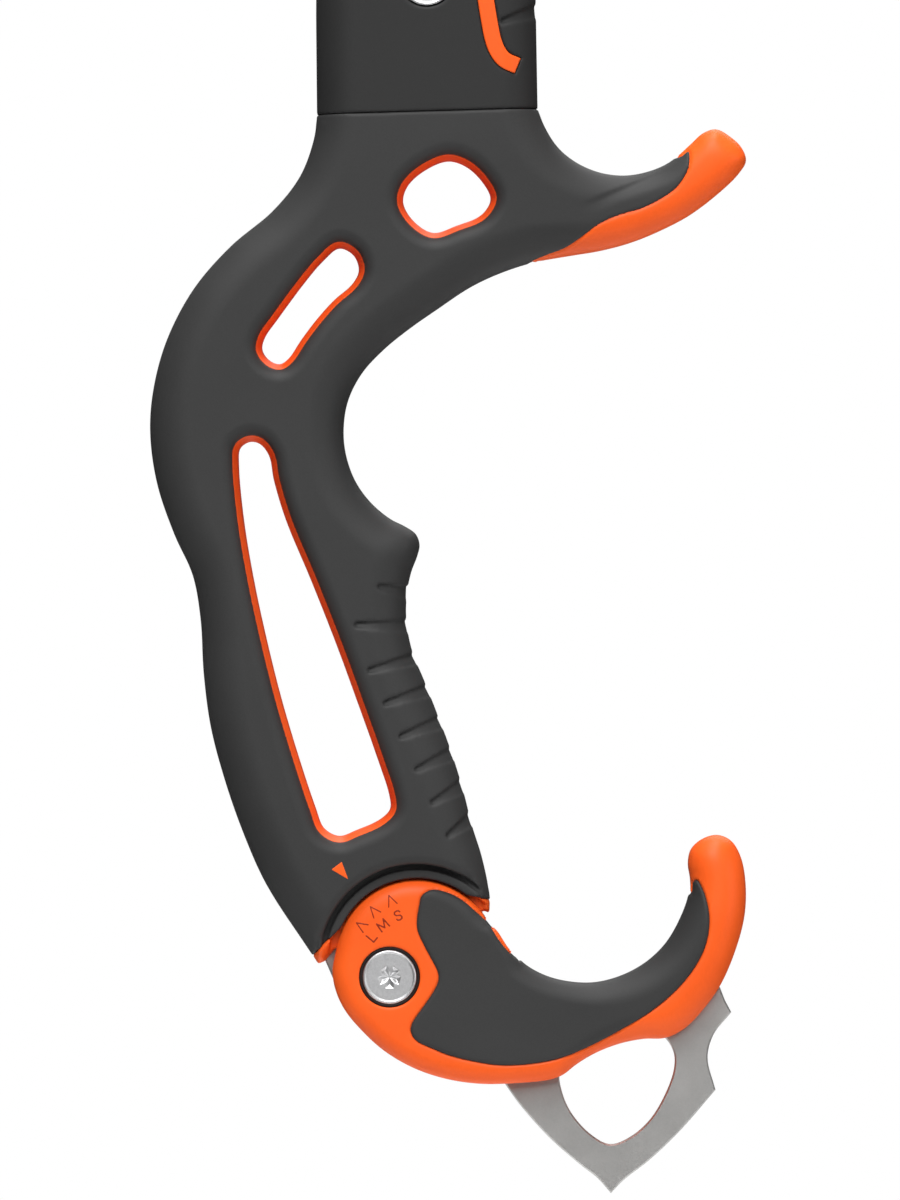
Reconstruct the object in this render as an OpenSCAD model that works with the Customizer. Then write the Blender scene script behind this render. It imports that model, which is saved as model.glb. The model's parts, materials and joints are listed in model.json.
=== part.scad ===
// Technical ice axe with a two-grip moulded handle, a swinging grip rest with a spike, and a curved aluminium shaft.
// The frame's origin is the centre of the rack hole in the head. +X points the way the pick points, +Y runs through
// the axe's thickness and +Z is up the shaft. Side outlines are [x, z] pairs measured from the grip rest's pivot.

/* [Handle] */
// Height of the moulded handle, from the rest's pivot to the seam under the shaft sleeve
handle_length = 204; // [172:1:245]
// Thickness of the grip across the palm
grip_thick = 25; // [21:0.5:30]
// Thickness of the rubber skin around the edge of the core
skin_wall = 2; // [1.5:0.1:2.5]
// How far the rubber stands back from a window in the core
window_reveal = 1.2; // [0.6:0.1:1.8]
// Thickness of the bare horn at the top of the grip
horn_thick = 18; // [15:0.5:20]

/* [Shaft] */
// Front-to-back depth of the aluminium tube
tube_depth = 36; // [30:1:38]
// Side-to-side thickness of the tube
tube_thick = 18; // [15:0.5:19]
// Wall of the tube
tube_wall = 1.6; // [1.2:0.1:2.2]
// Straight length of tube above the seam
shaft_straight = 86; // [72:1:110]
// Radius of the forward bend above that
bend_radius = 508; // [420:1:700]
// Angle of the forward bend
bend_angle = 14; // [8:1:18]
// Length of the rubber sleeve above the seam
sleeve_length = 109; // [95:1:130]

/* [Grip rest] */
// Radius of the rest's round cheeks about its pivot
cheek_radius = 19.4; // [17:0.1:23.3]
// Thickness of the rest across its cheeks
rest_thick = 22; // [20.5:0.5:25]
// Swing of the rest either side of the middle setting
rest_swing = 17.3; // [10:0.1:20]
// Diameter of the pivot pin
pin_diameter = 5; // [4:0.1:6]

/* [Spike and pick] */
// Thickness of the steel spike plate
spike_thick = 4; // [3.3:0.1:4.8]
// Thickness of the steel pick
pick_thick = 4; // [3.3:0.1:4.8]
// Radius of the rack hole through the head
rack_hole_radius = 7; // [6:0.5:8.5]

/* [Fasteners] */
// Thread diameter of every cross bolt
bolt_diameter = 6; // [5:0.1:6.6]
// Radius of the flat bolt heads on the handle
disc_radius = 6.5; // [6:0.1:7]

/* [Hidden] */
$fn = 48;

rubber = "#3b3b3b";
orange_nylon = "#f2662b";
steel = "#9a9a98";
bright_steel = "#c9c9c9";
aluminium = "#55585a";

curve_steps = 4;         // straight pieces to each span of a curved outline
fit_gap = 0.05;          // between pieces that are pressed or bonded together
turn_gap = 0.05;         // radial, between the pivot pin and what turns on it
slide_gap = 0.2;         // between faces that slide past each other
sweep_gap = 0.6;         // between the moving rest and the handle around it
far = 60;                // a cutter's reach past whatever it cuts

// Handle and shaft
half_grip = grip_thick / 2;
half_horn = horn_thick / 2;
half_core = half_grip - 3;
shaft_x = 2.4;                          // middle of the shaft, in front of the pivot
seam_z = handle_length;
seam_drop = 1.5;                        // the seam is this much lower at the back
seam_gap = 0.4;
tube_end_z = seam_z - 7;
neck_wall = 2;
neck_side = 3.6;
neck_top_z = seam_z + 58;
half_neck = tube_thick / 2 + neck_wall;
half_sleeve = half_neck + 2;
handle_bolt_z = seam_z + 31;
bend_z = seam_z + shaft_straight;
sleeve_top_z = seam_z + sleeve_length;

// Grip rest
half_rest = rest_thick / 2;
cheek_thick = 4.3;
half_pocket = half_rest - cheek_thick;
half_tongue = half_pocket - slide_gap;
tongue_radius = cheek_radius - 3.4;
groove_radius = cheek_radius + 1.2 + sweep_gap;
plate_radius = cheek_radius + 2.6;
pin_radius = pin_diameter / 2;
clamp_reach = 7.6;                      // from the pivot to the clamp bolt
clamp_angle = 211.5;
clamp_at = clamp_reach * [cos(clamp_angle), sin(clamp_angle)];
bolt_radius = bolt_diameter / 2;
bolt_hole = bolt_radius + 0.1;
disc_thick = 1.8;
ring_wall = 0.8;
nut_barrel = bolt_radius + 1;
disc_seat = half_rest - disc_thick - 0.2;
half_pin = disc_seat - 0.8;

// Head, in its own frame: u forward and v up from the middle of the tube's top end
half_head = tube_thick / 2 - 1;
half_pick = pick_thick / 2;
half_spike = spike_thick / 2;
rack_hole = [0, 20];
head_bolt_at = [[14.5, 10], [-13.5, 9]];
hammer_bolt_at = [-38, 12];
half_hammer = 7;
hammer_face_u = -58;
tenon_angle = 3;                        // of the tube's bend that the head's tenon fills
rivet_angles = [1, 2.2];
rivet_radius = 3;

function lean(p, a) = [p.x * cos(a) + p.y * sin(a), p.y * cos(a) - p.x * sin(a)];
tube_top = [shaft_x + bend_radius * (1 - cos(bend_angle)), bend_z + bend_radius * sin(bend_angle)];
origin = tube_top + lean(rack_hole, bend_angle);

// ---- Curves ----

function mix(a, b, t) = a + (b - a) * t;
function knot(a, b) = sqrt(norm(b - a));

// A point on the centripetal Catmull-Rom span that runs from b to c
function on_span(a, b, c, d, u) =
    let (t1 = knot(a, b), t2 = t1 + knot(b, c), t3 = t2 + knot(c, d), t = mix(t1, t2, u))
    let (ab = mix(a, b, t / t1), bc = mix(b, c, (t - t1) / (t2 - t1)), cd = mix(c, d, (t - t2) / (t3 - t2)))
    mix(mix(ab, bc, t / t2), mix(bc, cd, (t - t1) / (t3 - t1)), (t - t1) / (t2 - t1));

// A smooth open curve through the points, and a smooth closed one
function smooth(p, steps = curve_steps) =
    let (last = len(p) - 1, q = concat([2 * p[0] - p[1]], p, [2 * p[last] - p[last - 1]]))
    concat([for (i = [0:last - 1], s = [0:steps - 1]) on_span(q[i], q[i + 1], q[i + 2], q[i + 3], s / steps)],
           [p[last]]);
function smooth_loop(p, steps = curve_steps) =
    let (n = len(p))
    [for (i = [0:n - 1], s = [0:steps - 1])
        on_span(p[(i + n - 1) % n], p[i], p[(i + 1) % n], p[(i + 2) % n], s / steps)];

// The outline of a stripe of that width along a curve
function ribbon(p, width) =
    let (last = len(p) - 1, half = width / 2)
    let (way = [for (i = [0:last]) p[min(i + 1, last)] - p[max(i - 1, 0)]])
    let (out = [for (i = [0:last]) half * [-way[i].y, way[i].x] / norm(way[i])])
    concat([for (i = [0:last]) p[i] + out[i]], [for (i = [last:-1:0]) p[i] - out[i]]);

// ---- Outlines, from the pivot ----

// The handle's points are for a 204 mm handle, and their heights follow its length
function at_length(points) = [for (p = points) [p.x, p.y * handle_length / 204]];

back_edge = at_length([[-23.9, 204 - seam_drop], [-24.6, 197], [-27.9, 188], [-34.5, 179.6], [-44.5, 171.2],
    [-53.4, 161], [-59.9, 148.7], [-63.2, 136.5], [-63.9, 126], [-62.2, 114], [-58.1, 102], [-53.7, 92.2],
    [-51.8, 81.5], [-51.1, 69], [-49.4, 56], [-46, 43.1], [-41.4, 30], [-36, 18], [-24.9, 1]]);
end_edge = [[-23.6, -1], [-21.9, -0.3], [-19.8, 2.3], [-12, 8], [12, 9], [16.2, 11.7], [17.5, 11.2]];
finger_edge = at_length([[17.6, 14.3], [16.9, 19.1], [15.4, 25.5], [13.4, 31.8], [11, 41.2], [8.2, 50.2],
    [5.2, 58.3], [2, 66.5], [-1.2, 74.5], [-2.5, 82], [-2.3, 88], [-1.3, 93], [0.2, 97], [0.7, 99.6],
    [-0.2, 102.1], [-2.7, 103.9], [-6.4, 105.8], [-11.2, 109.9], [-14.9, 115.2], [-17.1, 121.8], [-17.5, 128],
    [-16.4, 134.3], [-13.2, 140.6], [-8, 146.3], [-1.6, 151.5], [5, 156.1], [12.8, 161.3], [20, 164.7],
    [28, 167.3], [36.8, 168.9], [44, 170.1], [51.2, 172], [58.4, 174.9], [65.6, 178.7], [72.8, 184.2],
    [77.2, 188.5], [79, 191.6], [77.9, 194.8], [75.2, 197.4], [71.8, 199.2], [68.6, 198.2], [65.6, 195.5],
    [60.8, 191.4], [56, 189.2], [50, 188.1], [44, 188.8], [38.5, 191.1], [34, 194.7], [30.9, 199.4], [29, 204]]);
handle_outline = concat(smooth(back_edge), end_edge, smooth(finger_edge));

upper_window = at_length([[7.5, 191.5], [1.5, 189], [-2.3, 185.3], [-3.2, 181.5], [-0.5, 177], [4, 174.4],
    [9.5, 176.1], [15.5, 178.7], [17.7, 182.4], [16, 186.2], [12, 190.1]]);
middle_window = at_length([[-18.6, 170.6], [-22.4, 167.6], [-26.3, 163.1], [-33.5, 153.4], [-36.4, 149.2],
    [-37, 146.3], [-35.3, 143.8], [-32.8, 142.9], [-30.7, 144.3], [-27.8, 148.6], [-24.2, 153.4],
    [-19.9, 158.2], [-15.4, 162.2], [-13.9, 165.4], [-15.2, 169]]);
lower_window = at_length([[-40, 124.2], [-42.3, 122.6], [-42.6, 118.5], [-41.4, 105.5], [-39, 91.1],
    [-35.9, 76.7], [-32.3, 62.3], [-28, 47.9], [-24.2, 36.5], [-22.2, 31.6], [-18.6, 29.7], [-14.5, 31.1],
    [-8.8, 33.7], [-6.4, 36.2], [-6.6, 39.5], [-9.3, 47.9], [-14.4, 62.3], [-19.7, 76.7], [-25.4, 91.1],
    [-31.4, 105.5], [-34.3, 115.1], [-35.4, 120.8], [-37.6, 123.7]]);

// Where the rubber stops on the upper horn, and the bare nylon beyond it
horn_line = at_length([[24, 165], [27.5, 167.4], [31, 168.9], [35.5, 170.6], [39.5, 173.2], [43.5, 176.2],
    [48, 178.3], [53.6, 180], [58.4, 182.3], [62.2, 185], [64.7, 188.6], [65.5, 192], [65.2, 193.9],
    [63.4, 192.6], [60.5, 192]]);
bare_horn = concat(smooth(horn_line), at_length([[60, 210], [95, 210], [95, 155], [24, 155]]));

// Where the rubber stops above the rest, either side of its groove
skin_end = concat([[-40, -14]], at_length([[-24.9, 1], [-19.5, 6.5]]), [[-12, 13]],
                  at_length([[12.4, 15.5], [17.6, 14.3]]), [[30, 11.5], [30, -14]]);

sleeve_back = [[-23.9, seam_z - seam_drop + seam_gap], [-24.1, seam_z + 26], [-23.6, seam_z + 0.53 * sleeve_length],
    [-21.5, seam_z + 0.79 * sleeve_length], [shaft_x - tube_depth / 2 - 2.8, sleeve_top_z - 4],
    [shaft_x - tube_depth / 2 - 0.6, sleeve_top_z]];
sleeve_front = [[shaft_x + tube_depth / 2 + 0.8, sleeve_top_z], [shaft_x + tube_depth / 2 + 3, sleeve_top_z - 4],
    [26.2, seam_z + 0.79 * sleeve_length], [27.9, seam_z + 0.53 * sleeve_length], [28.5, seam_z + 26],
    [29, seam_z + seam_gap]];
sleeve_outline = concat(smooth(sleeve_back), smooth(sleeve_front));
stripe_width = 3.9;
stripe_line = [[24.2, seam_z + 10.1], [21, seam_z + 11.6], [18.9, seam_z + 14.6], [17.2, seam_z + 22],
    [15.9, seam_z + 32], [15, seam_z + 50], [15.4, seam_z + 70], [17.4, sleeve_top_z - 19],
    [18.8, sleeve_top_z - 12], [21.6, sleeve_top_z - 9]];

// The rest's hook beyond its round cheeks, the rubber pad that lines it, and the pad's own reach past the hook
hook_outline = smooth([[-19.3, 2.5], [-20.2, -2.5], [-19.4, -7.3], [-17.1, -12.1], [-13.1, -16.9], [-7.8, -21.7],
    [-1, -25.7], [6.5, -28.3], [15, -29.6], [24.8, -29.4], [32, -28.6], [35, -27.5], [38.4, -24.9], [43, -22.2],
    [48.8, -20], [54.5, -18.9], [59.5, -18.7], [64, -16.6], [68.6, -12], [72.8, -6.1], [76.4, 2.2], [78.6, 10.5],
    [78.9, 18], [77.8, 24.5], [75.5, 28.5], [72.2, 29.9], [68.5, 28.9], [65.8, 26.4], [65.1, 23], [65.6, 19.5],
    [65.6, 15.6], [63.2, 9], [59.8, 3.4], [55, -1.1], [49, -4.3], [42.5, -5.9], [36, -5.6], [30.5, -4.1],
    [25.5, -1.2], [21.9, 2.9], [19.2, 6.9], [16.4, 9.6]]);
pad_line = smooth([[26.6, -1.6], [22.6, 1.5], [19.9, 4.7], [17.2, 8.8], [13.8, 12.1], [10.8, 14.6], [7.4, 16.3],
    [3.7, 17], [1.2, 15.5], [0.5, 12.8], [0, 9.4], [0.2, 7.1], [1.7, 3.7], [3.5, 0.3], [4.9, -2.4], [5.2, -4.1],
    [4.9, -5.7], [3.4, -8.4], [1.3, -11.4], [-1, -14.8], [-1.5, -16.5], [-1, -18.2], [0.3, -19.5], [4, -21.2],
    [7.7, -22.7], [13.3, -24.1], [20, -25.1], [27, -24.8], [34.4, -23.4], [41.6, -20.5], [48.8, -16.7],
    [56, -12.3], [62, -7.3], [66.4, -2], [69.2, 3.5], [70.2, 9.5], [69.4, 14.8], [67.9, 18.4], [67.1, 19.3],
    [66.3, 18.8], [65.9, 16.2], [64.8, 14.4]]);
pad_reach = concat(pad_line, [[58, 12], [48, 4], [34, 4]]);

// The spike plate: its hidden tang about the pivot, then what shows under the rest
function on_circle(r, from, to, count) = [for (i = [0:count]) r * [cos(mix(from, to, i / count)),
                                                                  sin(mix(from, to, i / count))]];
tang_inner = smooth([[11.5, 16], [17.3, 6.5], [24, -5.5], [33, -9.5], [44, -10.5], [56, -7], [65, -1.5],
                     [72.8, -6.7]], 3);
tang_outer = smooth([[20.8, -29.2], [9, -25.3], [-3, -20.6], [-12.5, -13.4], [-18.3, -8.6]], 3);
spike_teeth = concat([[74, -9.8], [75.5, -12.6]], smooth([[75.5, -12.6], [71.2, -18], [69.8, -23.5], [71.7, -31.2]]));
spike_point = concat(smooth([[71.7, -31.2], [63.2, -41], [56, -47.9], [49.6, -52.9], [46.6, -56]]),
                     smooth([[46.6, -56], [43.4, -52.4], [39.2, -49.1], [32, -42.8], [24.8, -34.8], [20.8, -29.2]]));
plate_outline = concat(on_circle(plate_radius, 180, 72, 18), tang_inner, spike_teeth, spike_point, tang_outer);
clip_hole = smooth_loop([[34.4, -27], [34.8, -31.4], [37, -36.6], [41.6, -41.8], [46.4, -44.3], [51.2, -42.6],
    [56, -38.4], [59.8, -32], [61.8, -26], [61.6, -22], [59, -18.4], [52, -17.6], [44, -20], [37.4, -23.6]]);

// ---- Outlines of the head end, in the head's frame ----

head_outline = concat([[-19.5, -1]], smooth([[-19.5, 0], [-23, 6], [-24, 13], [-21, 19.5], [-14, 25.5], [-8, 30.5],
    [0, 32.5], [8, 30.8], [14, 26.8], [22, 22], [26.5, 16], [27, 9], [24.5, 3.5], [19.5, 0]]), [[19.5, -1]]);
blade_top = smooth([[-16, 20.6], [-8.4, 26.6], [0, 29.5], [8.4, 27.4], [16, 22.8], [27, 21.6], [45, 22.6],
    [70, 20.6], [95, 14.8], [120, 5.2], [142, -7.4], [160, -21.2], [172, -33.5], [178.5, -43]]);
blade_edge = [[178.5, -43], [170, -37.8], [150, -26.3], [128, -14.9], [104, -5.6], [80, -0.4], [55, 2.4],
              [27, 3], [14, 2.4], [-18, 2.4]];
pick_tail = [[-22, 6], [-50, 6.5], [-50, 17.5], [-22, 18.4]];
pick_outline = concat(blade_top, smooth(blade_edge), pick_tail);
tooth_pitch = 6.4;
tooth_bite = 2.7;
tooth_count = 16;
hammer_outline = [[-26, 7], [-36, 6], [-45, 4.2], [-51, 1.5], [hammer_face_u, 0.5], [hammer_face_u, 24],
                  [-51, 23], [-45, 20], [-36, 18.6], [-26, 18]];

// ---- Placing ----

// A side outline as a solid, between two places through the thickness, or centred
module side(y0, y1) translate([0, y1, 0]) rotate([90, 0, 0]) linear_extrude(y1 - y0) children();
module slab(half) side(-half, half) children();
// A cylinder through the thickness at a side position
module cross(at, r, y0, y1) translate([at.x, y1, at.y]) rotate([90, 0, 0]) cylinder(r = r, h = y1 - y0);
// From the pivot's frame, and from the head's frame, to the row's frame
module from_pivot() translate([-origin.x, 0, -origin.y]) children();
module from_head() from_pivot() translate([tube_top.x, 0, tube_top.y]) rotate([0, bend_angle, 0]) children();
// One flat outline worked out whole
module whole() offset(delta = 0) children();
// The first child drawn in all round except at the seam, where a strip carries it past
module drawn_in(inset) intersection() {
    children();
    offset(delta = -inset) {
        children();
        translate([-23.9, seam_z - 12]) square([52.8, 24]);
    }
}

// ---- Shaft ----

module oval(grow = 0) {
    flat = tube_depth - tube_thick;
    r = tube_thick / 2 + grow;
    square([flat, 2 * r], center = true);
    for (s = [-1, 1]) translate([s * flat / 2, 0]) circle(r = r);
}

// The oval carried along the straight and the bend, from one height to an angle of the bend
module along_straight(z0, z1, grow = 0) translate([shaft_x, 0, z0]) linear_extrude(z1 - z0) oval(grow);
module along_bend(from, to, grow = 0)
    translate([shaft_x + bend_radius, 0, bend_z]) rotate([90, 0, 180])
        rotate([0, 0, from]) rotate_extrude(angle = to - from, $fn = 180)
            translate([bend_radius, 0]) oval(grow);

module shaft_tube() color(aluminium) from_pivot() difference() {
    union() {
        along_straight(tube_end_z, bend_z);
        along_bend(0, bend_angle);
    }
    along_straight(tube_end_z - 1, bend_z + 0.01, -tube_wall);
    along_bend(0, bend_angle + 1, -tube_wall);
    cross([shaft_x, handle_bolt_z], bolt_hole, -far, far);
    rivets(rivet_radius);
}

module tube_end_plug() color(rubber) from_pivot()
    along_straight(tube_end_z, tube_end_z + 9, -tube_wall - fit_gap);

// Rivets across the tube's top end, with low domed heads
module rivets(r, domed = false) for (a = rivet_angles) {
    at = [shaft_x + bend_radius * (1 - cos(bend_angle - a)), bend_z + bend_radius * sin(bend_angle - a)];
    cross(at, r, -tube_thick / 2, tube_thick / 2);
    if (domed) for (s = [0, 1]) mirror([0, s, 0]) translate([at.x, tube_thick / 2, at.y]) rotate([-90, 0, 0])
        cylinder(r1 = r + 1.6, r2 = r + 0.6, h = 1);
}
module head_rivets() color(bright_steel) from_pivot() rivets(rivet_radius, true);

// ---- Head, pick and hammer ----

module head() color(steel) {
    from_head() difference() {
        union() {
            slab(half_head) polygon(head_outline);
            translate([0, 0, -1]) linear_extrude(4) oval(0.6);
        }
        slab(half_pick + fit_gap) translate([-30, 1.8]) square([60, 40]);
        cross(rack_hole, rack_hole_radius, -far, far);
        for (at = head_bolt_at) cross(at, bolt_hole, -far, far);
        translate([0, 0, -3]) linear_extrude(3) square(100, center = true);
    }
    from_pivot() difference() {
        along_bend(bend_angle - tenon_angle, bend_angle, -tube_wall - fit_gap);
        rivets(rivet_radius);
    }
}

module pick() color(steel) from_head() difference() {
    slab(half_pick) whole() difference() {
        polygon(pick_outline);
        for (i = [0:tooth_count - 1]) translate(tooth_at(i)) circle(r = tooth_bite, $fn = 20);
    }
    cross(rack_hole, rack_hole_radius, -far, far);
    for (at = head_bolt_at) cross(at, bolt_hole, -far, far);
    cross(hammer_bolt_at, bolt_hole, -far, far);
}

// The middle of a tooth's hollow, just under the blade's edge, counted back from the point
function tooth_at(i) =
    edge_walk(smooth(blade_edge, 12), (i + 1.1) * tooth_pitch) + 1.1 * [-0.25, -1];
// A place on a line of points, that far along it
function edge_walk(p, left, i = 0) =
    let (step = norm(p[i + 1] - p[i]))
    left <= step || i >= len(p) - 2 ? mix(p[i], p[i + 1], left / step) : edge_walk(p, left - step, i + 1);

module hammer() color(steel) from_head() difference() {
    union() {
        slab(half_hammer) polygon(hammer_outline);
        slab(half_hammer + 3) translate([hammer_face_u, 1.5]) square([6, 21.5]);
    }
    slab(half_pick + fit_gap) translate([-50 - fit_gap, 0]) square([40, 30]);
    cross(hammer_bolt_at, bolt_hole, -far, far);
}

// A hexagon-socket bolt across the thickness, its nut and its two washers
washer_thick = 0.8;
module cross_bolt(at, half) difference() {
    union() {
        cross(at, bolt_radius, -half - washer_thick, half + washer_thick + 4.5);
        cross(at, bolt_radius + 2, -half - washer_thick - 4, -half - washer_thick);
    }
    translate([at.x, -half - washer_thick - 4.5, at.y]) rotate([-90, 0, 0])
        cylinder(r = bolt_radius - 0.2, h = 3, $fn = 6);
}
module cross_nut(at, half) difference() {
    translate([at.x, half + washer_thick, at.y]) rotate([-90, 0, 0]) cylinder(r = bolt_radius + 2.6, h = 4.2, $fn = 6);
    cross(at, bolt_radius, 0, far);
}
module cross_washers(at, half) for (s = [-1, 1]) difference() {
    cross(at, bolt_radius + 3, min(s * half, s * (half + washer_thick)), max(s * half, s * (half + washer_thick)));
    cross(at, bolt_radius, -far, far);
}
module head_bolts() color(bright_steel) from_head() {
    for (at = head_bolt_at) cross_bolt(at, half_head);
    cross_bolt(hammer_bolt_at, half_hammer);
}
module head_nuts() color(bright_steel) from_head() {
    for (at = head_bolt_at) cross_nut(at, half_head);
    cross_nut(hammer_bolt_at, half_hammer);
}
module head_washers() color(bright_steel) from_head() {
    for (at = head_bolt_at) cross_washers(at, half_head);
    cross_washers(hammer_bolt_at, half_hammer);
}

// ---- Shaft sleeve ----

// Tapered hollows cut into a front edge: from an inner tip to an outer end
module rib(tip, end, half, deep = 1.3) {
    way = (end - tip) / norm(end - tip);
    across = [-way.y, way.x];
    out = end + way * 4;
    for (s = [0, 1]) mirror([0, s, 0]) side(half - deep, half + 1)
        polygon([tip + 0.7 * across, out + 1.4 * across, out - 1.4 * across, tip - 0.7 * across]);
}
sleeve_rib_count = 9;
sleeve_rib_pitch = (sleeve_length - 35) / (sleeve_rib_count - 1);

module neck_block(z0, z1) translate([shaft_x, 0, z0]) linear_extrude(z1 - z0) {
    flat = tube_depth + 2 * neck_side - 2 * half_neck;
    square([flat, 2 * half_neck], center = true);
    for (s = [-1, 1]) translate([s * flat / 2, 0]) circle(r = half_neck);
}

module shaft_sleeve() color(rubber) from_pivot() difference() {
    union() {
        slab(half_sleeve - 3.5) polygon(sleeve_outline);
        slab(half_sleeve - 1) drawn_in(1.2) polygon(sleeve_outline);
        slab(half_sleeve) drawn_in(3.5) polygon(sleeve_outline);
    }
    along_straight(seam_z - 5, bend_z, fit_gap);
    along_bend(0, 5, fit_gap);
    neck_block(seam_z - 9, neck_top_z + fit_gap);
    for (i = [0:sleeve_rib_count - 1])
        rib([20.8, seam_z + 20.8 + i * sleeve_rib_pitch], [28.2, seam_z + 23.2 + i * sleeve_rib_pitch], half_sleeve);
    for (s = [0, 1]) mirror([0, s, 0]) side(half_sleeve - 1, far) polygon(ribbon(smooth(stripe_line), stripe_width));
    cross([shaft_x, handle_bolt_z], disc_radius + fit_gap, -far, far);
}

module sleeve_stripes() color(orange_nylon) from_pivot() for (s = [0, 1]) mirror([0, s, 0])
    side(half_sleeve - 1, half_sleeve) polygon(ribbon(smooth(stripe_line), stripe_width));

// ---- Handle ----

module windows(grow = 0) offset(delta = grow) {
    polygon(smooth_loop(upper_window));
    polygon(smooth_loop(middle_window));
    polygon(smooth_loop(lower_window));
}

// The core's flat shape under the rubber, down to the groove for the rest
module core_shape() whole() difference() {
    union() {
        difference() {
            drawn_in(skin_wall) polygon(handle_outline);
            polygon(skin_end);
        }
        end_band_shape();
    }
    windows();
    circle(r = groove_radius);
}
// The bare band of core between the end of the rubber and the rest
module end_band_shape() intersection() {
    polygon(handle_outline);
    polygon(skin_end);
}
module horn_shape() whole() intersection() {
    polygon(handle_outline);
    polygon(bare_horn);
}
// The thin tongue that the rest's cheeks close over
module tongue_shape() whole() {
    intersection() {
        polygon(handle_outline);
        circle(r = groove_radius + 8);
    }
    circle(r = tongue_radius);
}

// The curved slot that the clamp bolt moves along
module clamp_slot(half_width) {
    rotate([90, 0, 0]) rotate([0, 0, clamp_angle - rest_swing]) translate([0, 0, -half_pocket])
        rotate_extrude(angle = 2 * rest_swing)
            translate([clamp_reach - half_width, 0]) square([2 * half_width, 2 * half_pocket]);
    for (s = [-1, 1]) cross(clamp_reach * [cos(clamp_angle + s * rest_swing), sin(clamp_angle + s * rest_swing)],
                            half_width, -half_pocket, half_pocket);
}

module handle_core() color(orange_nylon) from_pivot() difference() {
    union() {
        slab(half_core) core_shape();
        slab(half_horn) horn_shape();
        slab(half_tongue) tongue_shape();
        neck_block(tube_end_z - 2, neck_top_z);
    }
    along_straight(tube_end_z, neck_top_z + 1, fit_gap);
    slab(half_spike + slide_gap) circle(r = plate_radius + sweep_gap);
    clamp_slot(bolt_radius + 0.3);
    cross([0, 0], pin_radius, -far, far);
    cross([shaft_x, handle_bolt_z], bolt_hole, -far, far);
}

// The rubber's shape at one level: lower levels reach the outline, higher ones are drawn in
module skin_shape(inset, lip) whole() difference() {
    drawn_in(inset) polygon(handle_outline);
    windows(window_reveal + lip);
    circle(r = groove_radius + fit_gap + 2 * lip);
    polygon(skin_end);
    polygon(bare_horn);
}

grip_rib_count = 7;
mark_corners = at_length([[-20.4, 21.8], [-17.9, 23.7], [-16.3, 19.4]]);
mark_thick = 1;

module grip_skin() color(rubber) from_pivot() difference() {
    union() {
        slab(half_grip - 2.5) skin_shape(0, 0);
        slab(half_grip - 1.1) skin_shape(1.2, 0.6);
        slab(half_grip) skin_shape(3.4, 1.4);
    }
    slab(half_core) core_shape();
    slab(half_tongue) tongue_shape();
    neck_block(tube_end_z - 2, neck_top_z);
    rib(at_length([[-8.3, 89.6]])[0], at_length([[-2.6, 88.3]])[0], half_grip, 2);
    for (i = [0:grip_rib_count - 1])
        rib(at_length([[-14 + 3.7 * i, 80.5 - 8.4 * i]])[0], at_length([[-2.4 + 2.55 * i, 80.3 - 7.8 * i]])[0],
            half_grip, 2);
    for (s = [0, 1]) mirror([0, s, 0]) side(half_grip - mark_thick, far) polygon(mark_corners);
}

module index_marks() color(orange_nylon) from_pivot() for (s = [0, 1]) mirror([0, s, 0])
    side(half_grip - mark_thick, half_grip) polygon(mark_corners);

// ---- Flat-headed bolts and their nuts ----

// A disc with a shank through the thickness, its face at -y, and the flanged nut that faces +y
module disc_bolt(at, seat) difference() {
    union() {
        cross(at, disc_radius, -seat - disc_thick, -seat);
        cross(at, bolt_radius, -seat, seat + 0.6);
    }
    translate([at.x, -seat - disc_thick - 0.1, at.y]) rotate([-90, 0, 0]) star_socket(1.5);
}
module disc_nut(at, seat, barrel) difference() {
    union() {
        cross(at, disc_radius, seat, seat + disc_thick);
        if (barrel > 0) cross(at, nut_barrel, seat - barrel, seat);
    }
    cross(at, bolt_radius, 0, seat + 0.6);
}
// A five-lobed key socket, one lobe straight down
module star_socket(deep) {
    cylinder(r = 1.9, h = deep);
    for (a = [18:72:306]) rotate([0, 0, a]) translate([1.9, 0, 0]) cylinder(r = 0.65, h = deep);
}

handle_nut_barrel = 1.2;
module handle_bolt() color(bright_steel) from_pivot() disc_bolt([shaft_x, handle_bolt_z], half_neck);
module handle_nut() color(bright_steel) from_pivot() disc_nut([shaft_x, handle_bolt_z], half_neck, 0);

module clamp_bolt() color(bright_steel) from_pivot() disc_bolt(clamp_at, disc_seat);
module clamp_nut() color(bright_steel) from_pivot() disc_nut(clamp_at, disc_seat, handle_nut_barrel);
module clamp_rings() color("#1c1614") from_pivot() for (s = [0, 1]) mirror([0, s, 0]) difference() {
    cross(clamp_at, disc_radius + ring_wall, disc_seat, disc_seat + disc_thick - 0.3);
    cross(clamp_at, disc_radius, 0, far);
}

// ---- Grip rest ----

module pivot_pin() color(bright_steel) from_pivot() cross([0, 0], pin_radius, -half_pin, half_pin);

module rest_shape() whole() {
    circle(r = cheek_radius, $fn = 120);
    polygon(concat(hook_outline, [[0, 0]]));
}
module pad_shape() whole() intersection() {
    rest_shape();
    polygon(pad_reach);
}

// Rubber over the rest's sides and round its inner curve
pad_deep = 1.5;
pad_proud = 0.3;
module pad_solid() difference() {
    slab(half_rest + pad_proud) pad_shape();
    slab(half_rest - pad_deep) offset(delta = -pad_deep) rest_shape();
    slab(half_pocket) pocket_shape();
}

// The space between the cheeks that the handle's tongue turns in, at every setting
pocket_from = 32.6 - rest_swing - 3.5;
pocket_to = 182.4 + rest_swing + 3.5;
module pocket_shape() whole() {
    circle(r = tongue_radius + sweep_gap);
    polygon(concat([[0, 0]], on_circle(far, pocket_from, pocket_to, 12)));
}

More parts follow.
